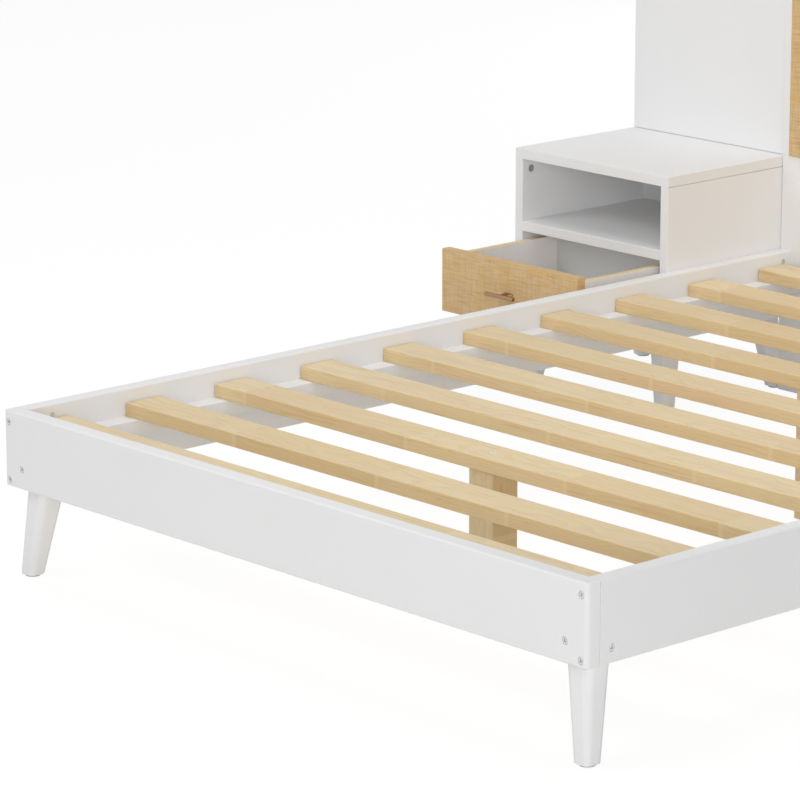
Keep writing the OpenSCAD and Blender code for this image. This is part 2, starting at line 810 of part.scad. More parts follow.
stand_floor(1);  // right_stand_floor
stand_back(1);  // right_stand_back
stand_legs(1);  // right_stand_legs
drawer_front(-1);  // left_drawer_front
drawer_sides(-1);  // left_drawer_sides
drawer_back(-1);  // left_drawer_back
drawer_bottom(-1);  // left_drawer_bottom
drawer_pull(-1);  // left_drawer_pull
drawer_front(1);  // right_drawer_front
drawer_sides(1);  // right_drawer_sides
drawer_back(1);  // right_drawer_back
drawer_bottom(1);  // right_drawer_bottom
drawer_pull(1);  // right_drawer_pull
slide_channels();
slide_cages(-1);  // left_slide_cages
slide_cages(1);  // right_slide_cages
slide_runners(-1);  // left_slide_runners
slide_runners(1);  // right_slide_runners
frame_bolts();
barrel_nuts();
cam_locks();
foot_glides();
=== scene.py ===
"""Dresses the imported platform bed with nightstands, and sets up its studio and camera.

Every size is in metres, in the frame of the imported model: X runs across the bed, Y from the foot
board to the headboard, and Z up from the floor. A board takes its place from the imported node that
it stands for, so each size here is only what that node doesn't hold.
"""

import json
import logging
import math
from collections.abc import Callable, Iterator, Sequence
from contextlib import contextmanager
from dataclasses import dataclass, field
from enum import Enum

import bpy
from mathutils import Matrix, Vector

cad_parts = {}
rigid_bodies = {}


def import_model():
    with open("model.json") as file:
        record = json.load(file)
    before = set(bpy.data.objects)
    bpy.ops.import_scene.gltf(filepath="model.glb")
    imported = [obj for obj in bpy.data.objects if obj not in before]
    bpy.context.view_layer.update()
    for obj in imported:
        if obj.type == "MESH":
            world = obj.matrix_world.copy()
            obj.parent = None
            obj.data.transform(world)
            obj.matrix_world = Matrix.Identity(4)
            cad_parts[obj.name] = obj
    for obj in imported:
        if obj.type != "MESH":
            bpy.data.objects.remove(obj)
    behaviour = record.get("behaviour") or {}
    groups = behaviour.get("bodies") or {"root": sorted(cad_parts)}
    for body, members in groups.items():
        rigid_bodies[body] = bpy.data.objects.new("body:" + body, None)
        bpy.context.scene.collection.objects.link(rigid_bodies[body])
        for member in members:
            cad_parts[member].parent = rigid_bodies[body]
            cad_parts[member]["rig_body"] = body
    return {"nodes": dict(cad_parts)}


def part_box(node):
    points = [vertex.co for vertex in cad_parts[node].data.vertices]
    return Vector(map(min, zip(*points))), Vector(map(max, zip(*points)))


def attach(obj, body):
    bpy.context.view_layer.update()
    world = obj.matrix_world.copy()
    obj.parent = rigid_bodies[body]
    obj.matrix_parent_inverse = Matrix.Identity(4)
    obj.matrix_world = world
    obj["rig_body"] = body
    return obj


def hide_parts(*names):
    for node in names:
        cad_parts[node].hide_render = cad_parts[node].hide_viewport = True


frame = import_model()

MM = 0.001
HAIR = 0.01 * MM
STRAIGHT = 0.999
FLAT_ANGLE = math.radians(0.5)
SHARP_ANGLE = math.radians(50)
NORMAL_WEIGHT = 80
LATE_WOOD = "#C9A870"
DARK_REED = "#B98F5C"
LOG = logging.getLogger("bed")

MATH = "ShaderNodeMath"
MIX = "ShaderNodeMix"
NOISE = "ShaderNodeTexNoise"
VORONOI = "ShaderNodeTexVoronoi"
MAP_RANGE = "ShaderNodeMapRange"
COMBINE = "ShaderNodeCombineXYZ"
WHITE_NOISE = "ShaderNodeTexWhiteNoise"

Triple = tuple[float, float, float]
Colour = tuple[float, float, float, float]
Socket = bpy.types.NodeSocket
Tree = bpy.types.NodeTree
Piece = bpy.types.Object
EdgeTest = Callable[[Vector, Vector], bool]

PURE_WHITE: Colour = (1.0, 1.0, 1.0, 1.0)


class Axis(Enum):
    """One of the frame's three directions."""

    X = 0
    Y = 1
    Z = 2

    def runs_along(self, a: Vector, b: Vector) -> bool:
        """Whether the line from a to b lies along this direction."""
        step = (b - a).normalized()
        return abs(step[self.value]) > STRAIGHT


class Side(Enum):
    """The left and the right of someone who lies in the bed, seen from its foot."""

    LEFT = -1
    RIGHT = 1

    @property
    def prefix(self) -> str:
        """The first word of this side's node names."""
        return self.name.lower()


def linear(hex_code: str) -> Colour:
    """Turns an sRGB hex colour into a linear one.

    Args:
        hex_code: The colour, such as "#E8E8E6".

    Returns:
        Red, green, blue and alpha, each from 0 to 1.
    """
    parts = [int(hex_code[i:i + 2], 16) / 255 for i in (1, 3, 5)]
    values = [p / 12.92 if p <= 0.04045 else ((p + 0.055) / 1.055) ** 2.4 for p in parts]
    return values[0], values[1], values[2], 1.0


def add(
    tree: Tree, kind: str, feeds: dict | None = None, **settings: object
) -> bpy.types.Node:
    """Adds one node with its settings and links.

    Args:
        tree: The material's node tree.
        kind: The node's Blender type.
        feeds: What goes into each input, by the input's name or number: a value or a socket.
        settings: The node's own settings.

    Returns:
        The new node.
    """
    node = tree.nodes.new(kind)
    for name, value in settings.items():
        setattr(node, name, value)
    for key, value in (feeds or {}).items():
        if isinstance(value, Socket):
            tree.links.new(value, node.inputs[key])
        else:
            node.inputs[key].default_value = value
    return node


@dataclass(frozen=True)
class Surface:
    """What a finish draws: its colour, what its roughness follows, and its height."""

    colour: Socket
    rough: Socket
    height: Socket


@dataclass(frozen=True)
class Mark:
    """A tone that is laid over another where a pattern lies between two levels.

    Attributes:
        tone: Its colour.
        low: The level of the pattern at which it starts to show.
        high: The level at which it shows fully.
        share: How much of the colour beneath it hides there.
    """

    tone: str
    low: float
    high: float
    share: float

    def over(self, tree: Tree, under: Socket, pattern: Socket) -> Socket:
        """Lays the mark over a colour.

        Args:
            tree: The material's node tree.
            under: The colour beneath.
            pattern: Where the mark shows.

        Returns:
            The marked colour.
        """
        strength = add(tree, MAP_RANGE, {
            "Value": pattern, "From Min": self.low, "From Max": self.high, "To Max": self.share,
        })
        return add(tree, MIX, {
            0: strength.outputs[0], 6: under, 7: linear(self.tone),
        }, data_type="RGBA").outputs[2]


@dataclass(frozen=True)
class Spots:
    """A noise in a surface.

    Attributes:
        per_metre: How many spots it has to the metre along each axis.
        detail: How many finer layers lie on it.
        raggedness: How strong those layers are.
    """

    per_metre: Triple
    detail: float = 2.0
    raggedness: float = 0.5

    def drawn(self, tree: Tree, place: Socket) -> Socket:
        """Draws the noise, from 0 to 1."""
        stretched = add(tree, "ShaderNodeMapping", {"Vector": place, "Scale": self.per_metre})
        return add(tree, NOISE, {
            "Vector": stretched.outputs[0], "Scale": 1.0, "Detail": self.detail,
            "Roughness": self.raggedness,
        }).outputs["Fac"]


def even_spots(size: float, detail: float = 2.0) -> Spots:
    """Spots that have one size in every direction."""
    return Spots((1 / size, 1 / size, 1 / size), detail)


def long_spots(along: float, across: float, detail: float = 2.0) -> Spots:
    """Spots in wood, from how many there are to the metre along it and across it."""
    return Spots((along, across, across), detail, raggedness=0.6)


@dataclass(frozen=True, kw_only=True)
class Finish:
    """A surface finish that all pieces of one kind share.

    Attributes:
        name: Its material's name.
        slot: Its material slot. It is not used.
        relief: How far its texture stands up.
        rough_at_0: Its roughness where the pattern that this follows is 0.
        rough_at_1: Its roughness where that pattern is 1.
        metallic: How metallic it is.
        ior: Its refractive index. A metal has none here and keeps the default.
        specular: Its specular level.
    """

    name: str
    slot: str
    relief: float
    rough_at_0: float
    rough_at_1: float
    metallic: float = 0.0
    ior: float | None = 1.5
    specular: float = 0.5

    def surface(self, tree: Tree, place: Socket) -> Surface:
        """Draws the finish's pattern on the object's own coordinates."""
        raise NotImplementedError

    def material(self) -> bpy.types.Material:
        """Gives the finish's material, building it the first time.

        Returns:
            The material.
        """
        known = bpy.data.materials.get(self.name)
        if known:
            return known
        material = bpy.data.materials.new(self.name)
        material.use_nodes = True
        tree = material.node_tree
        inputs = tree.nodes["Principled BSDF"].inputs
        look = self.surface(tree, add(tree, "ShaderNodeTexCoord").outputs["Object"])
        rough = add(tree, MAP_RANGE, {
            "Value": look.rough, "To Min": self.rough_at_0, "To Max": self.rough_at_1,
        })
        bump = add(tree, "ShaderNodeBump", {"Height": look.height, "Distance": self.relief})
        tree.links.new(look.colour, inputs["Base Color"])
        tree.links.new(rough.outputs[0], inputs["Roughness"])
        tree.links.new(bump.outputs["Normal"], inputs["Normal"])
        inputs["Metallic"].default_value = self.metallic
        inputs["Specular IOR Level"].default_value = self.specular
        if self.ior is not None:
            inputs["IOR"].default_value = self.ior
        LOG.info("finish %s", self.name)
        return material


@dataclass(frozen=True, kw_only=True)
class Mottled(Finish):
    """A finish of two close tones in soft clouds, with a fine texture.

    Attributes:
        light: The tone between the clouds.
        dark: The tone in the clouds.
        clouds: Where the clouds lie.
        texture: What stands up.
        cloudy_gloss: Whether the roughness follows the clouds, and not the texture.
    """

    light: str
    dark: str
    clouds: Spots
    texture: Spots
    cloudy_gloss: bool = False

    def surface(self, tree: Tree, place: Socket) -> Surface:
        """Mixes the two tones by the clouds, over the texture."""
        clouds, texture = (spots.drawn(tree, place) for spots in (self.clouds, self.texture))
        tone = add(tree, MIX, {
            0: clouds, 6: linear(self.light), 7: linear(self.dark),
        }, data_type="RGBA").outputs[2]
        return Surface(tone, clouds if self.cloudy_gloss else texture, texture)


@dataclass(frozen=True)
class SatinLacquer(Mottled):
    """White polyurethane lacquer, sprayed on board and left satin.

    It gives the eye an even white with soft highlights, a faint orange peel where the spray
    levelled out, and a slightly greyer tone where the coat is thinner.
    """

    name: str = "satin_white_lacquer"
    slot: str = "white_paint"
    light: str = "#F5F5F6"
    dark: str = "#F2F2F2"
    clouds: Spots = even_spots(160 * MM, 3.0)
    texture: Spots = even_spots(3 * MM, 1.0)  # real orange peel is about 1 mm, drawn coarser
    relief: float = 0.02 * MM
    cloudy_gloss: bool = True
    rough_at_0: float = 0.52
    rough_at_1: float = 0.64
    specular: float = 0.3


@dataclass(frozen=True)
class FingerJointedPine(Finish):
    """Bare pine, planed and sanded, glued end to end from short staves with finger joints.

    It gives the eye faint growth rings that change from stave to stave, rosy streaks, fine fibre,
    a few resin flecks, and a pale band of interlocking fingers where two staves meet. Its narrow
    side faces carry a painted shade, a warmer, darker tone that stands in for light bounced
    between the boards.
    """

    name: str = "finger_jointed_pine"
    slot: str = "pine"
    along: Axis = Axis.X
    early_wood: str = "#EEDEBA"
    warm_stave: str = "#E5D0A6"
    glued: str = "#F3DFBC"
    # Painted shade: a warm tone multiplied into the narrow side faces, standing in for light
    # bounced between the boards.
    edge_tint: str = "#FBF3E4"
    rosy: Mark = Mark("#E8D0B0", 0.42, 0.65, 0.7)
    late_wood: Mark = Mark(LATE_WOOD, 0.0, 1.0, 0.2)
    fibre: Mark = Mark(LATE_WOOD, 0.5, 0.8, 0.3)
    streak: Mark = Mark(LATE_WOOD, 0.58, 0.75, 0.45)
    resin: Mark = Mark("#BE8850", 0.74, 0.84, 0.5)
    rosy_grain: Spots = long_spots(3.0, 45.0)
    fibre_grain: Spots = long_spots(16.0, 900.0, 3.0)
    streak_grain: Spots = long_spots(7.0, 160.0)
    resin_grain: Spots = long_spots(22.0, 150.0, 1.0)
    sway_grain: Spots = long_spots(4.5, 12.0)
    sway: float = 45 * MM
    relief: float = 0.06 * MM
    stave: float = 360 * MM
    finger_pitch: float = 4 * MM
    finger: float = 11 * MM
    ring: float = 6 * MM  # real rings are 2 to 3 mm apart, drawn wider so that they show
    board_pitch: float = 205 * MM
    board_zero: float = -1000 * MM
    board_middle: float = 63 * MM
    board_height: float = 262 * MM
    pith_near: float = 35 * MM
    pith_far: float = 110 * MM
    pith_spread: float = 150 * MM
    ring_edge: float = 2.5
    board_shift: float = 7.31
    band_share: float = 0.5
    band_core: float = 0.8
    line_width: float = 1 * MM
    line_share: float = 0.35
    rough_at_0: float = 0.6
    rough_at_1: float = 0.75
    ior: float | None = 1.45
    specular: float = 0.35

    def surface(self, tree: Tree, place: Socket) -> Surface:
        """Cuts the length into staves, and draws rings, streaks, fibre, flecks and joints."""
        turned = self.turned(tree, place)
        axes = add(tree, "ShaderNodeSeparateXYZ", {0: turned}).outputs
        length, width, depth = axes[0], axes[1], axes[2]
        from_zero = add(tree, MATH, {0: width, 1: self.board_zero}, operation="SUBTRACT")
        boards = add(tree, MATH, {0: from_zero.outputs[0], 1: self.board_pitch}, operation="DIVIDE")
        board = add(tree, MATH, {0: boards.outputs[0]}, operation="FLOOR").outputs[0]
        zigzag = add(tree, MATH, {0: depth, 1: self.finger_pitch / 2}, operation="PINGPONG")
        fingered = add(tree, MATH, {
            0: zigzag.outputs[0], 1: self.finger / (self.finger_pitch / 2), 2: length,
        }, operation="MULTIPLY_ADD").outputs[0]
        straight = add(tree, MATH, {0: length, 1: self.finger / 2}, operation="ADD").outputs[0]
        cell = add(tree, VORONOI, {
            "W": self.count(tree, board, fingered), "Scale": 1.0,
        }, voronoi_dimensions="1D")
        luck = add(tree, "ShaderNodeSeparateColor", {0: cell.outputs["Color"]}).outputs
        fibre = self.fibre_grain.drawn(tree, turned)
        tone = add(tree, MIX, {
            0: luck[0], 6: linear(self.early_wood), 7: linear(self.warm_stave),
        }, data_type="RGBA").outputs[2]
        for mark, pattern in (
            (self.rosy, self.rosy_grain.drawn(tree, turned)),
            (self.late_wood, self.rings(tree, turned, (width, depth), board, luck)),
            (self.fibre, fibre),
            (self.streak, self.streak_grain.drawn(tree, turned)),
            (self.resin, self.resin_grain.drawn(tree, turned)),
        ):
            tone = mark.over(tree, tone, pattern)
        joint = add(tree, VORONOI, {
            "W": self.count(tree, board, straight), "Scale": 1.0,
        }, voronoi_dimensions="1D", feature="DISTANCE_TO_EDGE").outputs["Distance"]
        return Surface(self.jointed(tree, tone, joint), fibre, fibre)

    def turned(self, tree: Tree, vector: Socket) -> Socket:
        """Puts the board's length first, then its width and its depth."""
        parts = add(tree, "ShaderNodeSeparateXYZ", {0: vector}).outputs
        order = (0, 1, 2) if self.along is Axis.X else (2, 0, 1)
        return add(tree, COMBINE, {i: parts[part] for i, part in enumerate(order)}).outputs[0]

    def count(self, tree: Tree, board: Socket, length: Socket) -> Socket:
        """Counts staves along a board, starting elsewhere on each board."""
        staves = add(tree, MATH, {0: length, 1: self.stave}, operation="DIVIDE").outputs[0]
        return add(tree, MATH, {
            0: board, 1: self.board_shift, 2: staves,
        }, operation="MULTIPLY_ADD").outputs[0]

    def rings(
        self, tree: Tree, turned: Socket, across: Sequence[Socket], board: Socket,
        luck: Sequence[Socket]
    ) -> Socket:
        """Draws growth rings round a pith that lies below each stave, in another place for each.

        Args:
            tree: The material's node tree.
            turned: The place, as length, width and depth.
            across: The width and the depth alone.
            board: The number of the board.
            luck: Three numbers from 0 to 1 that differ from stave to stave.

        Returns:
            How late in its ring a point lies, from 0 to 1.
        """
        in_board = add(tree, MATH, {
            0: board, 1: -self.board_pitch, 2: across[0],
        }, operation="MULTIPLY_ADD").outputs[0]
        middle = self.board_zero + self.board_middle
        aside = add(tree, MAP_RANGE, {
            "Value": luck[1], "To Min": middle - self.pith_spread / 2,
            "To Max": middle + self.pith_spread / 2,
        }).outputs[0]
        below = add(tree, MAP_RANGE, {
            "Value": luck[2], "To Min": self.board_height - self.pith_near,
            "To Max": self.board_height - self.pith_far,
        }).outputs[0]
        side = add(tree, MATH, {0: in_board, 1: aside}, operation="SUBTRACT").outputs[0]
        up = add(tree, MATH, {0: across[1], 1: below}, operation="SUBTRACT").outputs[0]
        flat = add(tree, COMBINE, {0: side, 1: up}).outputs[0]
        radius = add(tree, "ShaderNodeVectorMath", {0: flat}, operation="LENGTH").outputs["Value"]
        swayed = add(tree, MATH, {
            0: self.sway_grain.drawn(tree, turned), 1: self.sway, 2: radius,
        }, operation="MULTIPLY_ADD").outputs[0]
        turns = add(tree, MATH, {0: swayed, 1: self.ring}, operation="DIVIDE").outputs[0]
        share = add(tree, MATH, {0: turns}, operation="FRACT").outputs[0]
        return add(tree, MATH, {0: share, 1: self.ring_edge}, operation="POWER").outputs[0]

    def jointed(self, tree: Tree, wood: Socket, joint: Socket) -> Socket:
        """Lays a band of fingers over the edges, deeper in tone, and a thin line on the faces.

        Args:
            tree: The material's node tree.
            wood: The wood's colour.
            joint: How many staves away the next joint is.

        Returns:
            The colour with the joints in it, and with the painted shade on the side faces.
        """
        normal = self.turned(tree, add(tree, "ShaderNodeTexCoord").outputs["Normal"])
        sideways = add(tree, "ShaderNodeSeparateXYZ", {0: normal}).outputs[1]
        shows = add(tree, MATH, {0: sideways}, operation="ABSOLUTE").outputs[0]
        reach = self.finger / 2 / self.stave
        band = add(tree, MAP_RANGE, {
            "Value": joint, "From Min": reach, "From Max": reach * self.band_core,
            "To Max": self.band_share,
        }).outputs[0]
        band_here = add(tree, MATH, {0: band, 1: shows}, operation="MULTIPLY").outputs[0]
        banded = add(tree, MIX, {
            0: band_here, 6: wood, 7: linear(self.glued),
        }, data_type="RGBA")
        line = add(tree, MAP_RANGE, {
            "Value": joint, "From Max": self.line_width / self.stave,
            "To Min": self.line_share, "To Max": 0.0,
        }).outputs[0]
        hidden = add(tree, MATH, {0: 1.0, 1: shows}, operation="SUBTRACT").outputs[0]
        line_here = add(tree, MATH, {0: line, 1: hidden}, operation="MULTIPLY").outputs[0]
        lined = add(tree, MIX, {
            0: line_here, 6: banded.outputs[2], 7: linear(self.late_wood.tone),
        }, data_type="RGBA").outputs[2]
        # Painted shade: the narrow side faces are multiplied by a warm tone that stands in for
        # bounced light.
        return add(tree, MIX, {
            0: shows, 6: lined, 7: linear(self.edge_tint),
        }, data_type="RGBA", blend_type="MULTIPLY").outputs[2]


@dataclass(frozen=True)
class WovenLaminate(Finish):
    """Laminate that is printed and pressed to look like a close weave of pale reed.

    It gives the eye a fine grid of threads, with long darker reeds across and weaker ones down,
    cloudy patches of warmer and paler tan, and hardly any gloss.
    """

    name: str = "woven_reed_laminate"
    slot: str = "woven"
    pale: str = "#E9D1A9"
    tan: str = "#DFBA7F"
    warm: Mark = Mark("#E6B765", 0.48, 0.72, 0.6)
    weft: Mark = Mark(DARK_REED, 0.42, 0.8, 0.4)
    warp: Mark = Mark(DARK_REED, 0.45, 0.8, 0.35)
    gap: Mark = Mark(DARK_REED, 0.5, 0.0, 0.18)
    thread: float = 1.9 * MM  # real threads are about 1.4 mm apart, drawn coarser so that they show
    reed_length: float = 60 * MM
    patches: Spots = even_spots(55 * MM)
    streaks: Spots = Spots((1 / (90 * MM), 1 / (6 * MM), 1.0))
    reed_shift: float = 9.0
    reed_change: float = 1.3
    relief: float = 0.2 * MM
    rough_at_0: float = 0.7
    rough_at_1: float = 0.55
    specular: float = 0.3

    def surface(self, tree: Tree, place: Socket) -> Surface:
        """Lays threads across and down, tints each reed and clouds the whole."""
        normal = add(tree, "ShaderNodeTexCoord").outputs["Normal"]
        facing = add(tree, "ShaderNodeVectorMath", {0: normal}, operation="ABSOLUTE").outputs[0]
        face = add(tree, "ShaderNodeSeparateXYZ", {0: facing}).outputs
        axes = add(tree, "ShaderNodeSeparateXYZ", {0: place}).outputs
        across, down = (
            add(tree, MATH, {
                0: axes[1], 1: face[i], 2: axes[i],
            }, operation="MULTIPLY_ADD").outputs[0]
            for i in (0, 2)
        )
        tone = add(tree, MIX, {
            0: self.patches.drawn(tree, place), 6: linear(self.pale), 7: linear(self.tan),
        }, data_type="RGBA").outputs[2]
        flat = add(tree, COMBINE, {0: across, 1: down}).outputs[0]
        threads = self.threads(tree, across, down)
        for mark, pattern in (
            (self.warm, self.streaks.drawn(tree, flat)),
            (self.weft, self.reeds(tree, across, down)),
            (self.warp, self.reeds(tree, down, across)),
            (self.gap, threads),
        ):
            tone = mark.over(tree, tone, pattern)
        return Surface(tone, threads, threads)

    def reeds(self, tree: Tree, along: Socket, over: Socket) -> Socket:
        """Gives each stretch of each thread its own tone.

        Args:
            tree: The material's node tree.
            along: The coordinate along the threads.
            over: The coordinate from thread to thread.

        Returns:
            The tone, from 0 to 1.
        """
        rows = add(tree, MATH, {0: over, 1: self.thread}, operation="DIVIDE").outputs[0]
        row = add(tree, MATH, {0: rows}, operation="FLOOR").outputs[0]
        start = add(tree, WHITE_NOISE, {"W": row}, noise_dimensions="1D").outputs["Value"]
        steps = add(tree, MATH, {0: along, 1: self.reed_length}, operation="DIVIDE").outputs[0]
        placed = add(tree, MATH, {
            0: start, 1: self.reed_shift, 2: steps,
        }, operation="MULTIPLY_ADD").outputs[0]
        spot = add(tree, COMBINE, {0: placed, 1: row}).outputs[0]
        return add(tree, NOISE, {
            "Vector": spot, "Scale": self.reed_change, "Detail": 1.0,
        }, noise_dimensions="2D").outputs["Fac"]

    def threads(self, tree: Tree, across: Socket, down: Socket) -> Socket:
        """Rounds the threads, and lifts the one that lies on top at each crossing.

        Args:
            tree: The material's node tree.
            across: The coordinate across the panel.
            down: The coordinate up the panel.

        Returns:
            The height, from 0 in the gaps to 1 on the threads.
        """
        waves = []
        for coordinate in (across, down):
            turn = add(tree, MATH, {0: coordinate, 1: math.pi / self.thread}, operation="MULTIPLY")
            wave = add(tree, MATH, {0: turn.outputs[0]}, operation="SINE")
            waves.append(add(tree, MATH, {0: wave.outputs[0]}, operation="ABSOLUTE").outputs[0])
        return add(tree, MATH, {0: waves[0], 1: waves[1]}, operation="MULTIPLY").outputs[0]


@dataclass(frozen=True)
class FoiledDrawerWood(Finish):
    """Thin drawer boards of solid wood, with a pale foil on their faces and bare edges.

    It gives the eye a plain warm white inside and outside, framed by a line of light wood along
    the sawn and sanded top edge.
    """

    name: str = "foiled_drawer_wood"
    slot: str = "drawer_wood"
    foil: str = "#FCF8F5"
    foil_shade: str = "#F8F2ED"
    wood: str = "#F1DBA9"
    grain: str = "#E3C791"
    fibre: Spots = Spots((900.0, 18.0, 900.0))
    clouds: Spots = Spots((9.0, 9.0, 9.0))
    relief: float = 0.02 * MM
    foil_until: float = 0.3
    wood_from: float = 0.5
    rough_at_0: float = 0.45
    rough_at_1: float = 0.65

    def surface(self, tree: Tree, place: Socket) -> Surface:
        """Puts wood where the surface faces up or down, and foil everywhere else."""
        normal = add(tree, "ShaderNodeTexCoord").outputs["Normal"]
        upright = add(tree, "ShaderNodeSeparateXYZ", {0: normal}).outputs[2]
        steep = add(tree, MATH, {0: upright}, operation="ABSOLUTE").outputs[0]
        edge = add(tree, MAP_RANGE, {
            "Value": steep, "From Min": self.foil_until, "From Max": self.wood_from,
        }).outputs[0]
        fibre, clouds = (spots.drawn(tree, place) for spots in (self.fibre, self.clouds))
        foil, wood = (
            add(tree, MIX, {
                0: share, 6: linear(first), 7: linear(second),
            }, data_type="RGBA").outputs[2]
            for share, first, second in (
                (clouds, self.foil, self.foil_shade), (fibre, self.wood, self.grain),
            )
        )
        tone = add(tree, MIX, {0: edge, 6: foil, 7: wood}, data_type="RGBA").outputs[2]
        return Surface(tone, edge, fibre)


@dataclass(frozen=True)
class GreyBoard(Mottled):
    """Hardboard with a painted grey face, as drawer backs and bottoms are made.

    It gives the eye a flat mid grey with a barely visible felt of pressed fibres.
    """

    name: str = "grey_faced_hardboard"
    slot: str = "grey_board"
    light: str = "#DEDFDE"
    dark: str = "#D7D8D7"
    clouds: Spots = even_spots(1.5 * MM, 4.0)
    texture: Spots = even_spots(1.5 * MM, 4.0)
    relief: float = 0.03 * MM
    rough_at_0: float = 0.55
    rough_at_1: float = 0.7


@dataclass(frozen=True)
class PlatedMetal(Mottled):
    """Turned or rolled metal with a thin plating, brushed along one direction.

    It gives the eye soft streaked reflections, and a slightly duller tone in cloudy patches.
    """

    light: str = "#DCDDDF"
    dark: str = "#CACBCE"
    clouds: Spots = Spots((120.0, 120.0, 120.0))
    texture: Spots = Spots((400.0, 400.0, 400.0))
    relief: float = 0.01 * MM
    rough_at_0: float = 0.42
    rough_at_1: float = 0.58
    metallic: float = 1.0
    ior: float | None = None


@dataclass(frozen=True)
class GlideNylon(Mottled):
    """Moulded pale grey nylon.

    It gives the eye a dull light grey with the fine spark-eroded texture of its mould.
    """

    name: str = "moulded_grey_nylon"
    slot: str = "glide_plastic"
    light: str = "#C8C9C7"
    dark: str = "#BABBB9"
    clouds: Spots = even_spots(0.8 * MM)
    texture: Spots = even_spots(0.8 * MM)
    relief: float = 0.05 * MM
    rough_at_0: float = 0.5
    rough_at_1: float = 0.65
    ior: float | None = 1.53


WHITE = SatinLacquer()
PINE = FingerJointedPine()
POST_PINE = FingerJointedPine(
    name="finger_jointed_pine_upright", along=Axis.Z, early_wood="#E9D8B4", warm_stave="#DFC99F",
    stave=210 * MM, fibre=Mark(LATE_WOOD, 0.5, 0.8, 0.1),
)
WOVEN = WovenLaminate()
DRAWER_WOOD = FoiledDrawerWood()
GREY = GreyBoard()
COPPER = PlatedMetal(
    name="brushed_copper_plate", slot="copper", light="#A8886C", dark="#937359",
    texture=Spots((60.0, 1500.0, 1500.0)), rough_at_0=0.3, rough_at_1=0.5,
)
ZINC = PlatedMetal(name="zinc_plated_steel", slot="fastener_steel")
SLIDE_STEEL = PlatedMetal(
    name="galvanised_slide_steel", slot="slide_steel", light="#C4C7C9", dark="#9DA1A4",
    texture=Spots((1200.0, 20.0, 1200.0)),
)
NYLON = GlideNylon()


@dataclass(frozen=True)
class Bore:
    """A round recess in a board, from a point on its face straight into it."""

    mouth: Vector
    into: Vector
    radius: float
    depth: float
    rim: float = 0.35 * MM

    def on_rim(self, point: Vector) -> bool:
        """Whether a point lies on the edge of the bore's mouth."""
        step = point - self.mouth
        height = step.dot(self.into)
        away = (step - height * self.into).length
        return abs(height) < HAIR and abs(away - self.radius) < 5 * HAIR


@dataclass(frozen=True)
class Seam:
    """The edges in one face of a board that meet another board, so only a hair is broken."""

    face: Axis
    high: bool
    along: Axis | None = None
    radius: float = 0.5 * MM

    def holds(self, a: Vector, b: Vector, low: Vector, high: Vector) -> bool:
        """Whether the edge from a to b of the board from low to high belongs to this seam."""
        plane = (high if self.high else low)[self.face.value]
        in_face = all(abs(p[self.face.value] - plane) < HAIR for p in (a, b))
        return in_face and (self.along is None or self.along.runs_along(a, b))


def both_ends(axis: Axis, radius: float = 0.5 * MM) -> list[Seam]:
    """The seams of a board that meets another one at each end along an axis."""
    return [Seam(axis, high, radius=radius) for high in (False, True)]


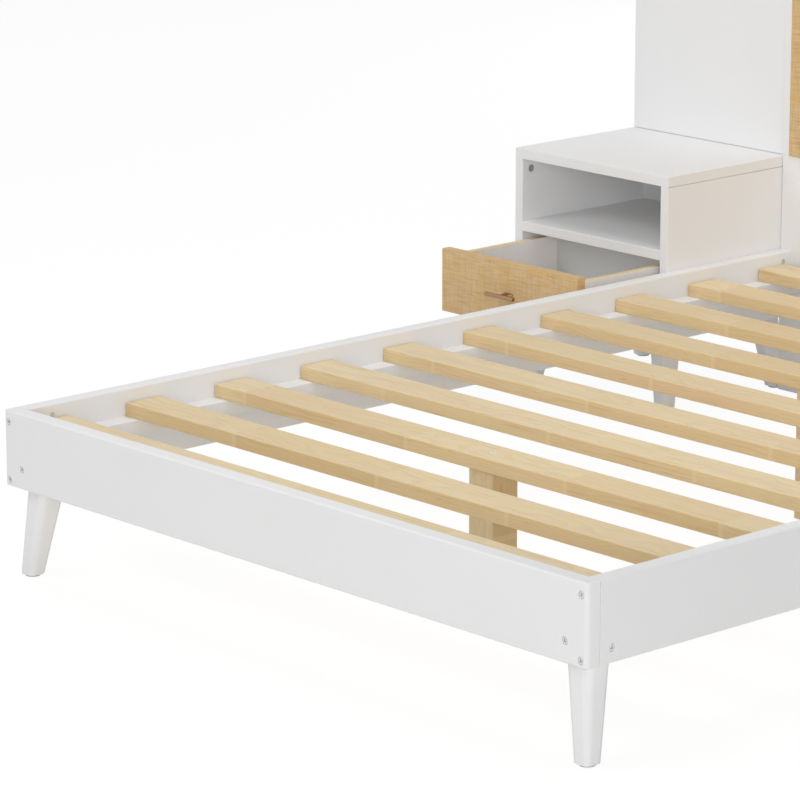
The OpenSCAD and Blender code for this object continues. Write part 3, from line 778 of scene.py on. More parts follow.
class Bench:
    """The modelling steps, each done with Blender's own operators on one object at a time."""

    @staticmethod
    def pick(*objects: Piece) -> None:
        """Selects only these objects, with the first one active."""
        bpy.ops.object.select_all(action="DESELECT")
        for item in objects:
            item.select_set(True)
        if objects:
            bpy.context.view_layer.objects.active = objects[0]

    @staticmethod
    def named(name: str) -> Piece:
        """Names the object that was just added and moves its place into its mesh."""
        item = bpy.context.object
        item.name = name
        item.data.name = name
        bpy.ops.object.transform_apply(location=True, rotation=True, scale=True)
        return item

    @staticmethod
    def block(name: str, low: Vector, high: Vector) -> Piece:
        """Adds a cube primitive that fills a box.

        Args:
            name: The object's name.
            low: The box's lowest corner.
            high: The box's highest corner.

        Returns:
            The new object.
        """
        Bench.pick()
        bpy.ops.mesh.primitive_cube_add(size=1, location=(low + high) / 2, scale=high - low)
        return Bench.named(name)

    @staticmethod
    def rod(
        name: str, start: Vector, into: Vector, radius: float, length: float, sides: int = 32
    ) -> Piece:
        """Adds a cylinder primitive.

        Args:
            name: The object's name.
            start: The middle of its first end.
            into: The direction that it runs in, one long.
            radius: Its radius.
            length: Its length.
            sides: How many sides it has.

        Returns:
            The new object.
        """
        Bench.pick()
        turn = Vector((0, 0, 1)).rotation_difference(into).to_euler()
        bpy.ops.mesh.primitive_cylinder_add(
            vertices=sides, radius=radius, depth=length, location=start + into * length / 2,
            rotation=turn,
        )
        return Bench.named(name)

    @staticmethod
    @contextmanager
    def editing(item: Piece, part: str) -> Iterator[None]:
        """Opens edit mode on an object.

        Args:
            item: The object.
            part: What is selected there: VERT, EDGE or FACE.

        Yields:
            Nothing. Edit mode is left at the end.
        """
        Bench.pick(item)
        bpy.ops.object.mode_set(mode="EDIT")
        bpy.ops.mesh.select_mode(type=part)
        yield
        bpy.ops.object.mode_set(mode="OBJECT")

    @staticmethod
    def bevel(item: Piece, wanted: EdgeTest, width: float, segments: int) -> None:
        """Rounds some of an object's edges.

        Args:
            item: The object.
            wanted: Whether an edge is rounded, from its two ends.
            width: The rounding.
            segments: How many faces the rounding has.
        """
        Bench.pick(item)
        bpy.context.tool_settings.mesh_select_mode = (False, True, False)
        mesh = item.data
        for group in (mesh.vertices, mesh.edges, mesh.polygons):
            group.foreach_set("select", [False] * len(group))
        for edge in mesh.edges:
            a, b = (mesh.vertices[i].co for i in edge.vertices)
            edge.select = wanted(a, b)
        with Bench.editing(item, "EDGE"):
            bpy.ops.mesh.bevel(offset=width, segments=segments, affect="EDGES")

    @staticmethod
    def mark_faces(item: Piece, wanted: Callable[[bpy.types.MeshPolygon], bool]) -> None:
        """Selects the faces for which wanted is true, and nothing else."""
        Bench.pick(item)
        bpy.context.tool_settings.mesh_select_mode = (False, False, True)
        mesh = item.data
        for group in (mesh.vertices, mesh.edges):
            group.foreach_set("select", [False] * len(group))
        for face in mesh.polygons:
            face.select = wanted(face)

    @staticmethod
    def apply(item: Piece, kind: str, **settings: object) -> None:
        """Adds a modifier with its settings and applies it."""
        modifier = item.modifiers.new(kind.lower(), kind)
        for name, value in settings.items():
            setattr(modifier, name, value)
        Bench.pick(item)
        bpy.ops.object.modifier_apply(modifier=modifier.name)

    @staticmethod
    def ease(
        item: Piece, width_of: Callable[[Vector, Vector], float], segments: int = 4
    ) -> None:
        """Rounds each edge by its own width, all corners at once.

        Args:
            item: The object.
            width_of: Gives an edge's rounding from its two ends.
            segments: How many faces a rounding has.
        """
        mesh = item.data
        ends = [[mesh.vertices[i].co for i in edge.vertices] for edge in mesh.edges]
        widths = [width_of(a, b) for a, b in ends]
        widest = max(widths)
        weights = mesh.attributes.new("bevel_weight_edge", "FLOAT", "EDGE")
        weights.data.foreach_set("value", [width / widest for width in widths])
        Bench.apply(item, "BEVEL", width=widest, segments=segments, limit_method="WEIGHT")
        spent = item.data.attributes.get("bevel_weight_edge")
        if spent:
            item.data.attributes.remove(spent)

    @staticmethod
    def carve(item: Piece, cutters: Sequence[Piece], how: str = "DIFFERENCE") -> None:
        """Cuts or joins other objects into one, and removes them.

        Args:
            item: The object that stays.
            cutters: The objects that are used up.
            how: DIFFERENCE to cut them out, UNION to join them on.
        """
        for cutter in cutters:
            Bench.apply(item, "BOOLEAN", object=cutter, operation=how, solver="EXACT")
            bpy.data.objects.remove(cutter)

    @staticmethod
    def bore(item: Piece, bores: Sequence[Bore]) -> None:
        """Sinks round recesses into a board and breaks their rims."""
        if not bores:
            return
        lead = 2 * MM
        Bench.carve(item, [
            Bench.rod("drill", b.mouth - b.into * lead, b.into, b.radius, b.depth + lead)
            for b in bores
        ])
        Bench.bevel(
            item, lambda a, b: any(x.on_rim(a) and x.on_rim(b) for x in bores), bores[0].rim, 2
        )

    @staticmethod
    def polish(item: Piece, angle: float = 40.0) -> None:
        """Shades the roundings smooth and keeps the flat faces flat."""
        Bench.pick(item)
        bpy.ops.object.shade_smooth_by_angle(angle=math.radians(angle))
        Bench.apply(item, "WEIGHTED_NORMAL", keep_sharp=True, weight=NORMAL_WEIGHT)

    @staticmethod
    def copy(item: Piece, name: str, move: Matrix) -> Piece:
        """Copies an object with its own mesh, moved by a matrix.

        Args:
            item: The object to copy.
            name: The copy's name.
            move: How the copy's mesh is moved.

        Returns:
            The copy.
        """
        Bench.pick(item)
        bpy.ops.object.duplicate(linked=False)
        twin = bpy.context.object
        twin.name = name
        twin.data.name = name
        twin.data.transform(move)
        if move.determinant() < 0:
            twin.data.flip_normals()
        return twin

    @staticmethod
    def join(items: Sequence[Piece]) -> Piece:
        """Joins objects into the first one, which is returned."""
        Bench.pick(*items)
        if len(items) > 1:
            bpy.ops.object.join()
        return bpy.context.object


def hand_over(item: Piece, finish: Finish, *nodes: str) -> None:
    """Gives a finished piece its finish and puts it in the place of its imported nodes.

    Args:
        item: The piece.
        finish: Its finish.
        nodes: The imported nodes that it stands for, all on one body.
    """
    item.data.materials.clear()
    item.data.materials.append(finish.material())
    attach(item, frame["nodes"][nodes[0]]["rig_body"])
    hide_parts(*nodes)
    LOG.info("%s: %d faces, for %s", item.name, len(item.data.polygons), ", ".join(nodes))


def refine(node: str, finish: Finish, width: float, segments: int = 2) -> None:
    """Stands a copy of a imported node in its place, with facets merged and sharp edges eased.

    Args:
        node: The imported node's name.
        finish: The finish that the copy gets.
        width: The rounding of its edges.
        segments: How many faces a rounding has.
    """
    item = bpy.data.objects.new(f"{node}_eased", frame["nodes"][node].data.copy())
    bpy.context.scene.collection.objects.link(item)
    with Bench.editing(item, "VERT"):
        bpy.ops.mesh.select_all(action="SELECT")
        bpy.ops.mesh.remove_doubles(threshold=HAIR / 2)
        bpy.ops.mesh.dissolve_limited(angle_limit=FLAT_ANGLE)
    Bench.apply(
        item, "BEVEL", width=width, segments=segments, limit_method="ANGLE",
        angle_limit=SHARP_ANGLE,
    )
    Bench.polish(item)
    hand_over(item, finish, node)


@dataclass
class Board:
    """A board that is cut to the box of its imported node.

    Attributes:
        node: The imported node's name.
        finish: Its finish.
        radius: The rounding of its open edges.
        seams: Its edges that meet other boards.
        bores: Its round recesses.
        grooves: The boxes that are cut out of it, as lowest and highest corners.
    """

    node: str
    finish: Finish = WHITE
    radius: float = 1.5 * MM
    seams: Sequence[Seam] = ()
    bores: Sequence[Bore] = ()
    grooves: Sequence[tuple[Vector, Vector]] = ()

    def width_of(self, a: Vector, b: Vector) -> float:
        """The rounding of the edge from a to b."""
        low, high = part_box(self.node)
        for seam in self.seams:
            if seam.holds(a, b, low, high):
                return seam.radius
        return self.radius

    def build(self) -> Piece:
        """Models the board and puts it in place of its node.

        Returns:
            The board.
        """
        low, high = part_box(self.node)
        item = Bench.block(f"{self.node}_board", low, high)
        Bench.ease(item, self.width_of)
        Bench.carve(item, [Bench.block("groove", a, b) for a, b in self.grooves])
        Bench.bore(item, self.bores)
        Bench.polish(item)
        hand_over(item, self.finish, self.node)
        return item


@dataclass
class Plan:
    """Where the bolts, barrel nuts and cam locks sit, as the boards' holes need it.

    The bolts' distances are measured from the edges of the boards that they go into.
    """

    head_radius: float = 6.5 * MM
    head_depth: float = 5 * MM
    from_top: float = 20.5 * MM
    from_bottom: float = 12 * MM
    leg_in: float = 48 * MM
    leg_front_height: float = 36 * MM
    leg_side_height: float = 25 * MM
    leg_side_back: float = 25 * MM
    low_rail_inset: float = 45 * MM
    low_rail_back: float = 14 * MM
    top_rail_drop: float = 30 * MM
    wing_low: float = 110 * MM
    wing_high: float = 130 * MM
    wing_back: float = 23.5 * MM
    nut_radius: float = 5.3 * MM
    nut_depth: float = 16.3 * MM
    nut_from_foot: float = 57 * MM
    nut_from_head: float = 21 * MM
    nut_in_wing: float = 30 * MM
    cam_radius: float = 7.7 * MM
    cam_depth: float = 12.7 * MM
    cam_to_joint: float = 22.5 * MM
    cam_from_front: float = 25 * MM
    cam_from_back: float = 60 * MM

    def head(self, place: Triple, into: Triple) -> Bore:
        """The recess of a bolt whose head lies at a place on a face."""
        return Bore(Vector(place), Vector(into), self.head_radius, self.head_depth)

    def nut(self, place: Triple, into: Triple) -> Bore:
        """The hole of a barrel nut whose outer end lies at a place on a face."""
        return Bore(Vector(place), Vector(into), self.nut_radius, self.nut_depth)

    def cam(self, place: Triple, into: Triple) -> Bore:
        """The hole of a cam lock whose face lies at a place on a face."""
        return Bore(Vector(place), Vector(into), self.cam_radius, self.cam_depth)

    def rail_heights(self) -> tuple[float, float]:
        """The heights of the two bolts at each end of a side rail."""
        low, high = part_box("foot_board")
        return high.z - self.from_top, low.z + self.from_bottom

    def wing_heights(self) -> tuple[float, float]:
        """The heights of the two bolts that hold a wing."""
        low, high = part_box("left_wing")
        return low.z + self.wing_low, high.z - self.wing_high

    def rail_x(self, side: Side) -> Triple:
        """The inner face, the middle and the outer face of a side rail, along X."""
        low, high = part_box(f"{side.prefix}_side_rail")
        inner, outer = (low.x, high.x) if side is Side.RIGHT else (high.x, low.x)
        return inner, (inner + outer) / 2, outer

    def foot_heads(self) -> list[Bore]:
        """The six recesses on the front of the foot board."""
        low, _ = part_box("foot_board")
        heads = []
        for side in Side:
            _, middle, outer = self.rail_x(side)
            heads += [self.head((middle, low.y, z), (0, 1, 0)) for z in self.rail_heights()]
            x = outer - side.value * self.leg_in
            heads.append(self.head((x, low.y, low.z + self.leg_front_height), (0, 1, 0)))
        return heads

    def rail_holes(self, side: Side) -> list[Bore]:
        """A side rail's recess for its leg bolt and its holes for barrel nuts."""
        low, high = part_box(f"{side.prefix}_side_rail")
        inner, _, outer = self.rail_x(side)
        place = (outer, low.y + self.leg_side_back, low.z + self.leg_side_height)
        holes = [self.head(place, (-side.value, 0, 0))]
        for y in (low.y + self.nut_from_foot, high.y - self.nut_from_head):
            holes += [self.nut((inner, y, z), (side.value, 0, 0)) for z in self.rail_heights()]
        return holes

    def post_heads(self, side: Side) -> list[Bore]:
        """The recesses at the back, the outside and the inside of a headboard post."""
        low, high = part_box(f"headboard_{side.prefix}_post")
        rail_low, rail_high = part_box("foot_board")
        _, middle, outer = self.rail_x(side)
        inner = low.x if side is Side.RIGHT else high.x
        heads = [self.head((middle, high.y, z), (0, -1, 0)) for z in self.rail_heights()]
        for z in (rail_high.z - self.low_rail_inset, rail_low.z + self.low_rail_inset):
            heads.append(self.head((outer, low.y + self.low_rail_back, z), (-side.value, 0, 0)))
        top = (outer, (low.y + high.y) / 2, high.z - self.top_rail_drop)
        heads.append(self.head(top, (-side.value, 0, 0)))
        for z in self.wing_heights():
            heads.append(self.head((inner, low.y + self.wing_back, z), (side.value, 0, 0)))
        return heads

    def wing_nuts(self, side: Side) -> list[Bore]:
        """The holes of the two barrel nuts in a wing's back."""
        _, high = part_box(f"{side.prefix}_wing")
        x = self.rail_x(side)[2] + side.value * self.nut_in_wing
        return [self.nut((x, high.y, z), (0, -1, 0)) for z in self.wing_heights()]


PLAN = Plan()


@dataclass
class Leg:
    """A square leg with round corners that tapers and leans outwards."""

    shoulder: float = 54 * MM
    foot: float = 34 * MM
    corner: float = 16 * MM
    splay: float = 20 * MM
    glide: float = 3 * MM
    toe: float = 2 * MM

    def build(self, name: str, top: Vector, lean: tuple[int, int]) -> Piece:
        """Models one leg.

        Args:
            name: The object's name.
            top: The middle of the leg's upper end.
            lean: The way that its foot leans along X and Y, as -1 or 1.

        Returns:
            The leg.
        """
        Bench.pick()
        bpy.ops.mesh.primitive_plane_add(size=self.shoulder, location=top)
        item = Bench.named(name)
        foot_move = Vector((lean[0] * self.splay, lean[1] * self.splay, self.glide - top.z))
        with Bench.editing(item, "VERT"):
            bpy.ops.mesh.select_all(action="SELECT")
            bpy.ops.mesh.bevel(offset=self.corner, segments=8, affect="VERTICES")
            bpy.ops.mesh.select_mode(type="FACE")
            bpy.ops.mesh.select_all(action="SELECT")
            bpy.ops.mesh.extrude_region_move(TRANSFORM_OT_translate={"value": foot_move})
            bpy.ops.transform.resize(
                value=(self.foot / self.shoulder, self.foot / self.shoulder, 1.0),
                center_override=top + foot_move,
            )
            bpy.ops.mesh.select_all(action="SELECT")
            bpy.ops.mesh.normals_make_consistent(inside=False)
        Bench.bevel(item, lambda a, b: max(a.z, b.z) < self.glide + HAIR, self.toe, 4)
        return item


@dataclass
class BedFrame:
    """The foot board, the side rails with their ledgers, the front legs and the centre posts."""

    edge: float = 4 * MM
    corner: float = 8 * MM
    joint_width: float = 1.8 * MM
    joint_depth: float = 3 * MM
    leg: Leg = field(default_factory=Leg)
    leg_side: float = 50 * MM
    leg_front: float = 53 * MM
    block: float = 40 * MM
    post_edge: float = 2 * MM
    ledger_edge: float = 2 * MM

    def build(self) -> None:
        """Models every piece of the frame."""
        self.foot_board()
        for side in Side:
            self.side_rail(side)
            self.front_leg(side)
        for node in ("centre_post_front", "centre_post_rear"):
            Board(node, POST_PINE, self.post_edge).build()

    def foot_board(self) -> None:
        """Models the foot board, with rounder front corners and a shadow line at each rail."""
        low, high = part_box("foot_board")
        seams = [Seam(Axis.Y, False, Axis.Z, self.corner), Seam(Axis.Y, True)]
        lines = []
        for outer in (low.x, high.x):
            reach = Vector((self.joint_depth, self.joint_width, MM))
            top = Vector((outer, high.y, high.z - self.edge))
            lines.append((Vector((outer, high.y, low.z)) - reach, top + reach))
        Board("foot_board", WHITE, self.edge, seams, PLAN.foot_heads(), lines).build()

    def side_rail(self, side: Side) -> None:
        """Models one side rail with the holes for its fasteners, and its ledger."""
        node = f"{side.prefix}_side_rail"
        seams = both_ends(Axis.Y)
        Board(node, WHITE, self.edge, seams, PLAN.rail_holes(side)).build()
        touching = Seam(Axis.X, side is Side.RIGHT)
        Board(f"{side.prefix}_ledger", WHITE, self.ledger_edge, [touching, *seams]).build()

    def front_leg(self, side: Side) -> None:
        """Models one front leg with the block that fills the frame's corner above it."""
        node = f"front_{side.prefix}_leg"
        inner, _, outer = PLAN.rail_x(side)
        _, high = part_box(node)
        foot_low, foot_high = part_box("foot_board")
        top = Vector((outer - side.value * self.leg_side, foot_low.y + self.leg_front, foot_low.z))
        item = self.leg.build(f"{node}_turned", top, (side.value, -1))
        corner = Vector((inner, foot_high.y, top.z - MM))
        across = Vector((inner - side.value * self.block, foot_high.y + self.block, high.z))
        low = Vector(map(min, corner, across))
        block = Bench.block("block", low, Vector(map(max, corner, across)))
        Bench.carve(item, [block], "UNION")
        Bench.polish(item)
        hand_over(item, WHITE, node)


@dataclass
class SlatDeck:
    """The ten slats, two of which are bolted to the centre posts."""

    count: int = 10
    edge: float = 2 * MM
    end_edge: float = 0.8 * MM
    bolted: tuple[int, ...] = (3, 7)
    head_radius: float = 6.3 * MM
    head_depth: float = 2 * MM

    def build(self) -> None:
        """Models one slat of each kind and copies it to the others."""
        plain: Piece | None = None
        for number in range(1, self.count + 1):
            node = f"slat_{number:02d}"
            low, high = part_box(node)
            ends = both_ends(Axis.X, self.end_edge)
            if number in self.bolted:
                middle = Vector(((low.x + high.x) / 2, (low.y + high.y) / 2, high.z))
                bore = Bore(middle, Vector((0, 0, -1)), self.head_radius, self.head_depth)
                Board(node, PINE, self.edge, ends, [bore]).build()
            elif plain is None:
                plain = Board(node, PINE, self.edge, ends).build()
                first_low = low
            else:
                twin = Bench.copy(plain, f"{node}_board", Matrix.Translation(low - first_low))
                hand_over(twin, PINE, node)


@dataclass
class Headboard:
    """The headboard's posts, rails and panels, and the two wings over the nightstands."""

    edge: float = 4 * MM
    low_rail_edge: float = 2 * MM
    panel_edge: float = 0.5 * MM
    wing_edge: float = 1.5 * MM
    weave_edge: float = 1.2 * MM
    post_edge: float = 1 * MM
    gap: float = 1.3 * MM
    gap_depth: float = 8 * MM
    wing_gap_depth: float = 4 * MM

    def build(self) -> None:
        """Models every piece of the headboard."""
        for side in Side:
            self.post(side)
            self.wing(side)
        ends = both_ends(Axis.X)
        Board("headboard_top_rail", WHITE, self.edge, ends).build()
        Board("headboard_low_rail", WHITE, self.low_rail_edge, ends).build()
        Board("headboard_panel", WHITE, self.panel_edge).build()
        Board("woven_panel", WOVEN, self.weave_edge, [Seam(Axis.Y, True)]).build()

    def post(self, side: Side) -> None:
        """Models one post, with its bolts' recesses and a shadow gap beside the nightstand."""
        node = f"headboard_{side.prefix}_post"
        low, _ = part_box(node)
        _, stand_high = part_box(f"{side.prefix}_stand_top")
        outer = PLAN.rail_x(side)[2]
        foot = Vector((outer, low.y, PLAN.rail_heights()[0]))
        reach = Vector((self.gap, self.gap_depth, 0.0))
        gap = (foot - reach, Vector((outer, low.y, stand_high.z)) + reach)
        seams = [Seam(Axis.Y, False, Axis.Z, self.post_edge)]
        Board(node, WHITE, self.edge, seams, PLAN.post_heads(side), [gap]).build()

    def wing(self, side: Side) -> None:
        """Models one wing, with the holes of its two barrel nuts and a shadow gap at its foot."""
        node = f"{side.prefix}_wing"
        low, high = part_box(node)
        seams = [Seam(Axis.Z, False), Seam(Axis.X, side is Side.LEFT)]
        inside = Vector((high.x + MM, low.y + self.wing_gap_depth, low.z + self.gap))
        gap = (low - Vector((MM, MM, MM)), inside)
        Board(node, WHITE, self.wing_edge, seams, PLAN.wing_nuts(side), [gap]).build()


@dataclass
class Nightstand:
    """One nightstand without its drawer."""

    side: Side
    edge: float = 1.5 * MM
    back_edge: float = 0.5 * MM
    gap: float = 0.8 * MM
    gap_depth: float = 3 * MM
    leg: Leg = field(default_factory=Leg)

    def build(self) -> None:
        """Models the boards, the back and the four legs."""
        name = self.side.prefix
        Board(f"{name}_stand_top", WHITE, self.edge, [Seam(Axis.Z, False)]).build()
        for place in ("outer", "inner"):
            self.upright(place)
        self.level("shelf")
        self.level("floor")
        Board(f"{name}_stand_back", WHITE, self.back_edge).build()
        self.legs()

    def cam_rows(self) -> tuple[float, float]:
        """How far back the front and the rear cam locks lie."""
        low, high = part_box(f"{self.side.prefix}_stand_top")
        return low.y + PLAN.cam_from_front, high.y - PLAN.cam_from_back

    def upright(self, place: str) -> None:
        """Models the outer or the inner side, with its cam locks' holes and a gap below the top."""
        node = f"{self.side.prefix}_stand_{place}_side"
        low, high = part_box(node)
        faces_right = (self.side is Side.LEFT) == (place == "outer")
        x, into = (high.x, -1) if faces_right else (low.x, 1)
        cams = [PLAN.cam((x, y, high.z - PLAN.cam_to_joint), (into, 0, 0)) for y in self.cam_rows()]
        face = low.x if faces_right else high.x
        reach = Vector((self.gap_depth, MM, self.gap))
        gap = (Vector((face, low.y, high.z)) - reach, Vector((face, high.y, high.z)) + reach)
        Board(node, WHITE, self.edge, [Seam(Axis.Z, True)], cams, [gap]).build()

    def level(self, place: str) -> None:
        """Models the shelf or the floor, with the holes of its cam locks and of the leg bolts."""
        node = f"{self.side.prefix}_stand_{place}"
        low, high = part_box(node)
        xs = (low.x + PLAN.cam_to_joint, high.x - PLAN.cam_to_joint)
        bores = [PLAN.cam((x, y, low.z), (0, 0, 1)) for x in xs for y in self.cam_rows()]
        if place == "floor":
            bores += [PLAN.head((x, y, high.z), (0, 0, -1)) for x, y in self.leg_places()]
        Board(node, WHITE, self.edge, both_ends(Axis.X), bores).build()

    def leg_places(self) -> list[tuple[float, float]]:
        """Where the four legs' shoulders are centred."""
        low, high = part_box(f"{self.side.prefix}_stand_top")
        return [
            (x, y)
            for x in (low.x + PLAN.leg_in, high.x - PLAN.leg_in)
            for y in (low.y + PLAN.leg_in, high.y - PLAN.leg_in)
        ]

    def legs(self) -> None:
        """Models one leg for each corner and joins them into one piece."""
        name = self.side.prefix
        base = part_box(f"{name}_stand_outer_side")[0].z
        legs = []
        leans = [(x, y) for x in (-1, 1) for y in (-1, 1)]
        for (x, y), lean in zip(self.leg_places(), leans):
            item = self.leg.build(f"{name}_stand_leg", Vector((x, y, base)), lean)
            Bench.polish(item)
            legs.append(item)
        joined = Bench.join(legs)
        joined.name = f"{name}_stand_legs_turned"
        hand_over(joined, WHITE, f"{name}_stand_legs")


@dataclass
class Pull:
    """The drawer pull: a turned bar on one waisted web."""

    bar_radius: float = 4.5 * MM
    reach: float = 25 * MM
    bar_end: float = 1.2 * MM
    foot_width: float = 28 * MM
    foot_height: float = 2 * MM
    neck_width: float = 16 * MM
    web: float = 8 * MM
    rings: int = 7

    def build(self, name: str, middle: Vector, length: float) -> Piece:
        """Models the pull.

        Args:
            name: The object's name.
            middle: Where the web's foot stands, on the drawer front's face.
            length: The bar's length.

        Returns:
            The pull.
        """
        out = Vector((0, -1, 0))
        start = middle + out * self.reach - Vector((length / 2, 0, 0))
        bar = Bench.rod(name, start, Vector((1, 0, 0)), self.bar_radius, length, 48)
        ends = (start.x, start.x + length)
        Bench.bevel(
            bar, lambda a, b: any(abs(a.x - x) < HAIR and abs(b.x - x) < HAIR for x in ends),
            self.bar_end, 4,
        )
        web = Bench.rod("web", middle, out, self.foot_width / 2, self.foot_height, 64)
        with Bench.editing(web, "VERT"):
            bpy.ops.mesh.select_all(action="SELECT")
            bpy.ops.transform.resize(
                value=(1.0, 1.0, self.web / self.foot_width), center_override=middle
            )
        Bench.mark_faces(web, lambda face: face.normal.y < -0.9)
        with Bench.editing(web, "FACE"):
            self.draw_in(middle)
        Bench.carve(bar, [web], "UNION")
        Bench.polish(bar, 50.0)
        return bar

    def draw_in(self, middle: Vector) -> None:
        """Extrudes the selected face to the bar and narrows it along a hollow curve."""
        top = self.foot_height
        step = (self.reach / 2 - top) / self.rings
        width = self.foot_width
        for ring in range(1, self.rings + 1):
            left = (1 - ring / self.rings) ** 2
            wanted = self.neck_width + (self.foot_width - self.neck_width) * left
            top += step
            bpy.ops.mesh.extrude_region_move(TRANSFORM_OT_translate={"value": (0, -step, 0)})
            bpy.ops.transform.resize(
                value=(wanted / width, 1.0, 1.0), center_override=middle - Vector((0, top, 0))
            )
            width = wanted
        bpy.ops.mesh.extrude_region_move(TRANSFORM_OT_translate={"value": (0, top - self.reach, 0)})


@dataclass
class Drawer:
    """One drawer with its woven front and its pull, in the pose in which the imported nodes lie."""

    side: Side
    front_edge: float = 2 * MM
    box_edge: float = 1 * MM
    bottom_edge: float = 0.4 * MM
    pull: Pull = field(default_factory=Pull)
    groove: float = 6 * MM
    groove_clear: float = 0.3 * MM
    side_t: float = 13 * MM
    screw_radius: float = 4 * MM
    screw_head: float = 2.5 * MM
    screw_edge: float = 0.9 * MM

    def build(self) -> None:
        """Models the drawer's boards and its pull."""
        name = self.side.prefix
        Board(f"{name}_drawer_front", WOVEN, self.front_edge).build()
        Board(f"{name}_drawer_back", GREY, self.box_edge).build()
        Board(f"{name}_drawer_bottom", GREY, self.bottom_edge).build()
        self.sides()
        self.handle()

    def sides(self) -> None:
        """Models the two sides, each with the groove that holds the bottom."""
        node = f"{self.side.prefix}_drawer_sides"
        low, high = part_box(node)
        bottom_low, bottom_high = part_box(f"{self.side.prefix}_drawer_bottom")
        boards = []
        for left in (True, False):
            near = low.x if left else high.x - self.side_t
            near_low = Vector((near, low.y, low.z))
            item = Bench.block(
                "drawer_side", near_low, Vector((near + self.side_t, high.y, high.z))
            )
            Bench.ease(item, lambda a, b: self.box_edge)
            inner = near + self.side_t if left else near
            reach = self.groove if left else -self.groove
            xs = sorted((inner - reach, inner + reach))
            groove = Bench.block(
                "groove",
                Vector((xs[0], low.y - MM, bottom_low.z - self.groove_clear)),
                Vector((xs[1], high.y + MM, bottom_high.z + self.groove_clear)),
            )
            Bench.carve(item, [groove])
            Bench.polish(item)
            boards.append(item)
        joined = Bench.join(boards)
        joined.name = f"{node}_boards"
        hand_over(joined, DRAWER_WOOD, node)

    def handle(self) -> None:
        """Models the pull and the screw that holds it."""
        node = f"{self.side.prefix}_drawer_pull"
        low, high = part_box(node)
        front_low, front_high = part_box(f"{self.side.prefix}_drawer_front")
        middle = Vector(((low.x + high.x) / 2, front_low.y, (front_low.z + front_high.z) / 2))
        item = self.pull.build(f"{node}_turned", middle, high.x - low.x)
        hand_over(item, COPPER, node)
        back = Vector((middle.x, high.y, middle.z))
        screw = Bench.rod(
            f"{node}_screw", back, Vector((0, -1, 0)), self.screw_radius, self.screw_head
        )
        Bench.bevel(screw, lambda a, b: min(a.y, b.y) > high.y - HAIR, self.screw_edge, 3)
        Bench.polish(screw)
        hand_over(screw, ZINC, node)


@dataclass
class Hardware:
    """The fasteners, slides and glides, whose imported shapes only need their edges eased."""

    bolt_edge: float = 0.35 * MM
    nut_edge: float = 0.5 * MM
    cam_edge: float = 0.25 * MM
    slide_edge: float = 0.15 * MM
    glide_edge: float = 0.8 * MM

    def build(self) -> None:
        """Eases and dresses every piece of hardware."""
        refine("frame_bolts", ZINC, self.bolt_edge)
        refine("barrel_nuts", ZINC, self.nut_edge)
        refine("cam_locks", ZINC, self.cam_edge)
        refine("slide_channels", SLIDE_STEEL, self.slide_edge)
        for side in Side:
            refine(f"{side.prefix}_slide_cages", SLIDE_STEEL, self.slide_edge)
            refine(f"{side.prefix}_slide_runners", SLIDE_STEEL, self.slide_edge)
        refine("foot_glides", NYLON, self.glide_edge, 3)


@dataclass(frozen=True)
class Lamp:
    """A soft square lamp that points at the bed."""

    name: str
    place: Triple
    size: float
    power: float
    target: Triple = (0.0, 0.0, 0.3)

    def build(self) -> None:
        """Hangs the lamp."""
        Bench.pick()
        turn = (Vector(self.target) - Vector(self.place)).to_track_quat("-Z", "Y").to_euler()
        bpy.ops.object.light_add(type="AREA", location=self.place, rotation=turn)
        lamp = bpy.context.object
        lamp.name = self.name
        lamp.data.size = self.size
        lamp.data.energy = self.power


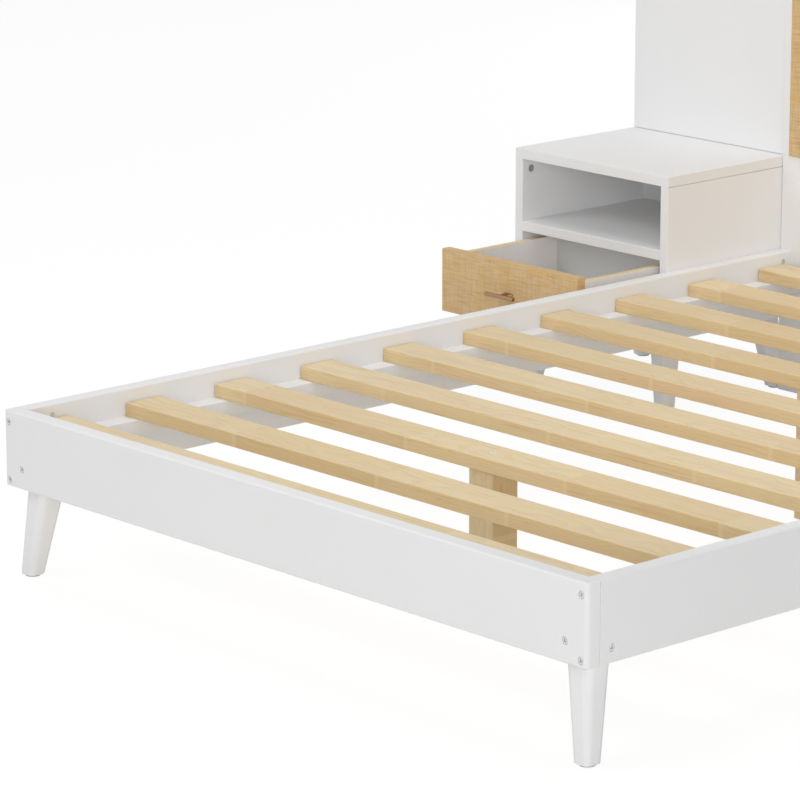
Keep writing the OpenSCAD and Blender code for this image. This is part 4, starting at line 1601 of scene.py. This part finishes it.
@dataclass
class Studio:
    """The camera, the floor, the lights and the white surroundings."""

    eye: Triple = (4.957, -5.2667, 2.0883)
    yaw: float = 47.604
    pitch: float = 14.10
    focal_px: float = 4196.2
    frame_px: float = 800.0
    sensor: float = 36.0
    sight: float = 100.0
    sky: float = 0.32
    floor_size: float = 60.0
    floor_paint: str = "#F4F4F3"
    floor_white: float = 0.86
    floor_glow: float = 1.06
    lamps: tuple[Lamp, ...] = (
        Lamp("key", (5.0, -5.0, 1.6), 3.0, 154.0),
        Lamp("fill", (-3.0, -4.5, 4.5), 3.0, 84.0),
        Lamp("top", (0.0, 0.0, 5.5), 3.0, 72.0),
        Lamp("back", (-3.0, 6.0, 0.9), 1.6, 95.0),
        Lamp("nightstand_fill", (0.3, -0.6, 1.4), 1.2, 3.2, (-0.95, 0.8, 0.35)),
    )

    def build(self) -> None:
        """Adds everything that isn't part of the bed."""
        self.camera()
        self.world()
        self.floor()
        for lamp in self.lamps:
            lamp.build()

    def camera(self) -> None:
        """Stands the camera where the photograph was taken."""
        Bench.pick()
        turn = (math.radians(90 - self.pitch), 0.0, math.radians(self.yaw))
        bpy.ops.object.camera_add(location=self.eye, rotation=turn)
        camera = bpy.context.object
        camera.name = "camera"
        camera.data.sensor_width = self.sensor
        camera.data.lens = self.focal_px / self.frame_px * self.sensor
        camera.data.clip_end = self.sight
        bpy.context.scene.camera = camera

    def seen(self, tree: Tree) -> Socket:
        """Gives 1 where the camera, a reflection or a view through glass sees a surface, else 0."""
        rays = add(tree, "ShaderNodeLightPath").outputs
        glossy = add(tree, MATH, {
            0: rays["Is Camera Ray"], 1: rays["Is Glossy Ray"],
        }, operation="MAXIMUM").outputs[0]
        return add(tree, MATH, {
            0: glossy, 1: rays["Is Transmission Ray"],
        }, operation="MAXIMUM").outputs[0]

    def world(self) -> None:
        """Lights the bed evenly from all round, and shows white behind it."""
        world = bpy.data.worlds.new("white_surroundings")
        bpy.context.scene.world = world
        world.use_nodes = True
        tree = world.node_tree
        strength = add(tree, MAP_RANGE, {
            "Value": self.seen(tree), "To Min": self.sky, "To Max": 1.0,
        })
        background = tree.nodes["Background"]
        background.inputs["Color"].default_value = PURE_WHITE
        tree.links.new(strength.outputs[0], background.inputs["Strength"])

    def floor(self) -> None:
        """Lays the pale floor, which shows nearly white and keeps the bed's shadow."""
        Bench.pick()
        bpy.ops.mesh.primitive_plane_add(size=self.floor_size, location=(0.0, 0.0, 0.0))
        floor = Bench.named("floor")
        material = bpy.data.materials.new("pale_floor")
        material.use_nodes = True
        tree = material.node_tree
        tree.nodes.remove(tree.nodes["Principled BSDF"])
        paint = add(tree, "ShaderNodeBsdfDiffuse", {"Color": linear(self.floor_paint)})
        glow = add(tree, "ShaderNodeEmission", {"Color": PURE_WHITE, "Strength": self.floor_glow})
        share = add(tree, MATH, {0: self.seen(tree), 1: self.floor_white}, operation="MULTIPLY")
        both = add(tree, "ShaderNodeMixShader", {
            0: share.outputs[0], 1: paint.outputs[0], 2: glow.outputs[0],
        })
        tree.links.new(both.outputs[0], tree.nodes["Material Output"].inputs["Surface"])
        floor.data.materials.append(material)


def main() -> None:
    """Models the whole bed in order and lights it."""
    logging.basicConfig(level=logging.INFO, format="%(name)s: %(message)s")
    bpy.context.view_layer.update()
    bpy.context.scene.view_settings.view_transform = "Standard"
    Studio().build()
    BedFrame().build()
    SlatDeck().build()
    Headboard().build()
    for side in Side:
        Nightstand(side).build()
        Drawer(side).build()
    Hardware().build()
    LOG.info("sizes written")


if __name__ == "__main__":
    main()
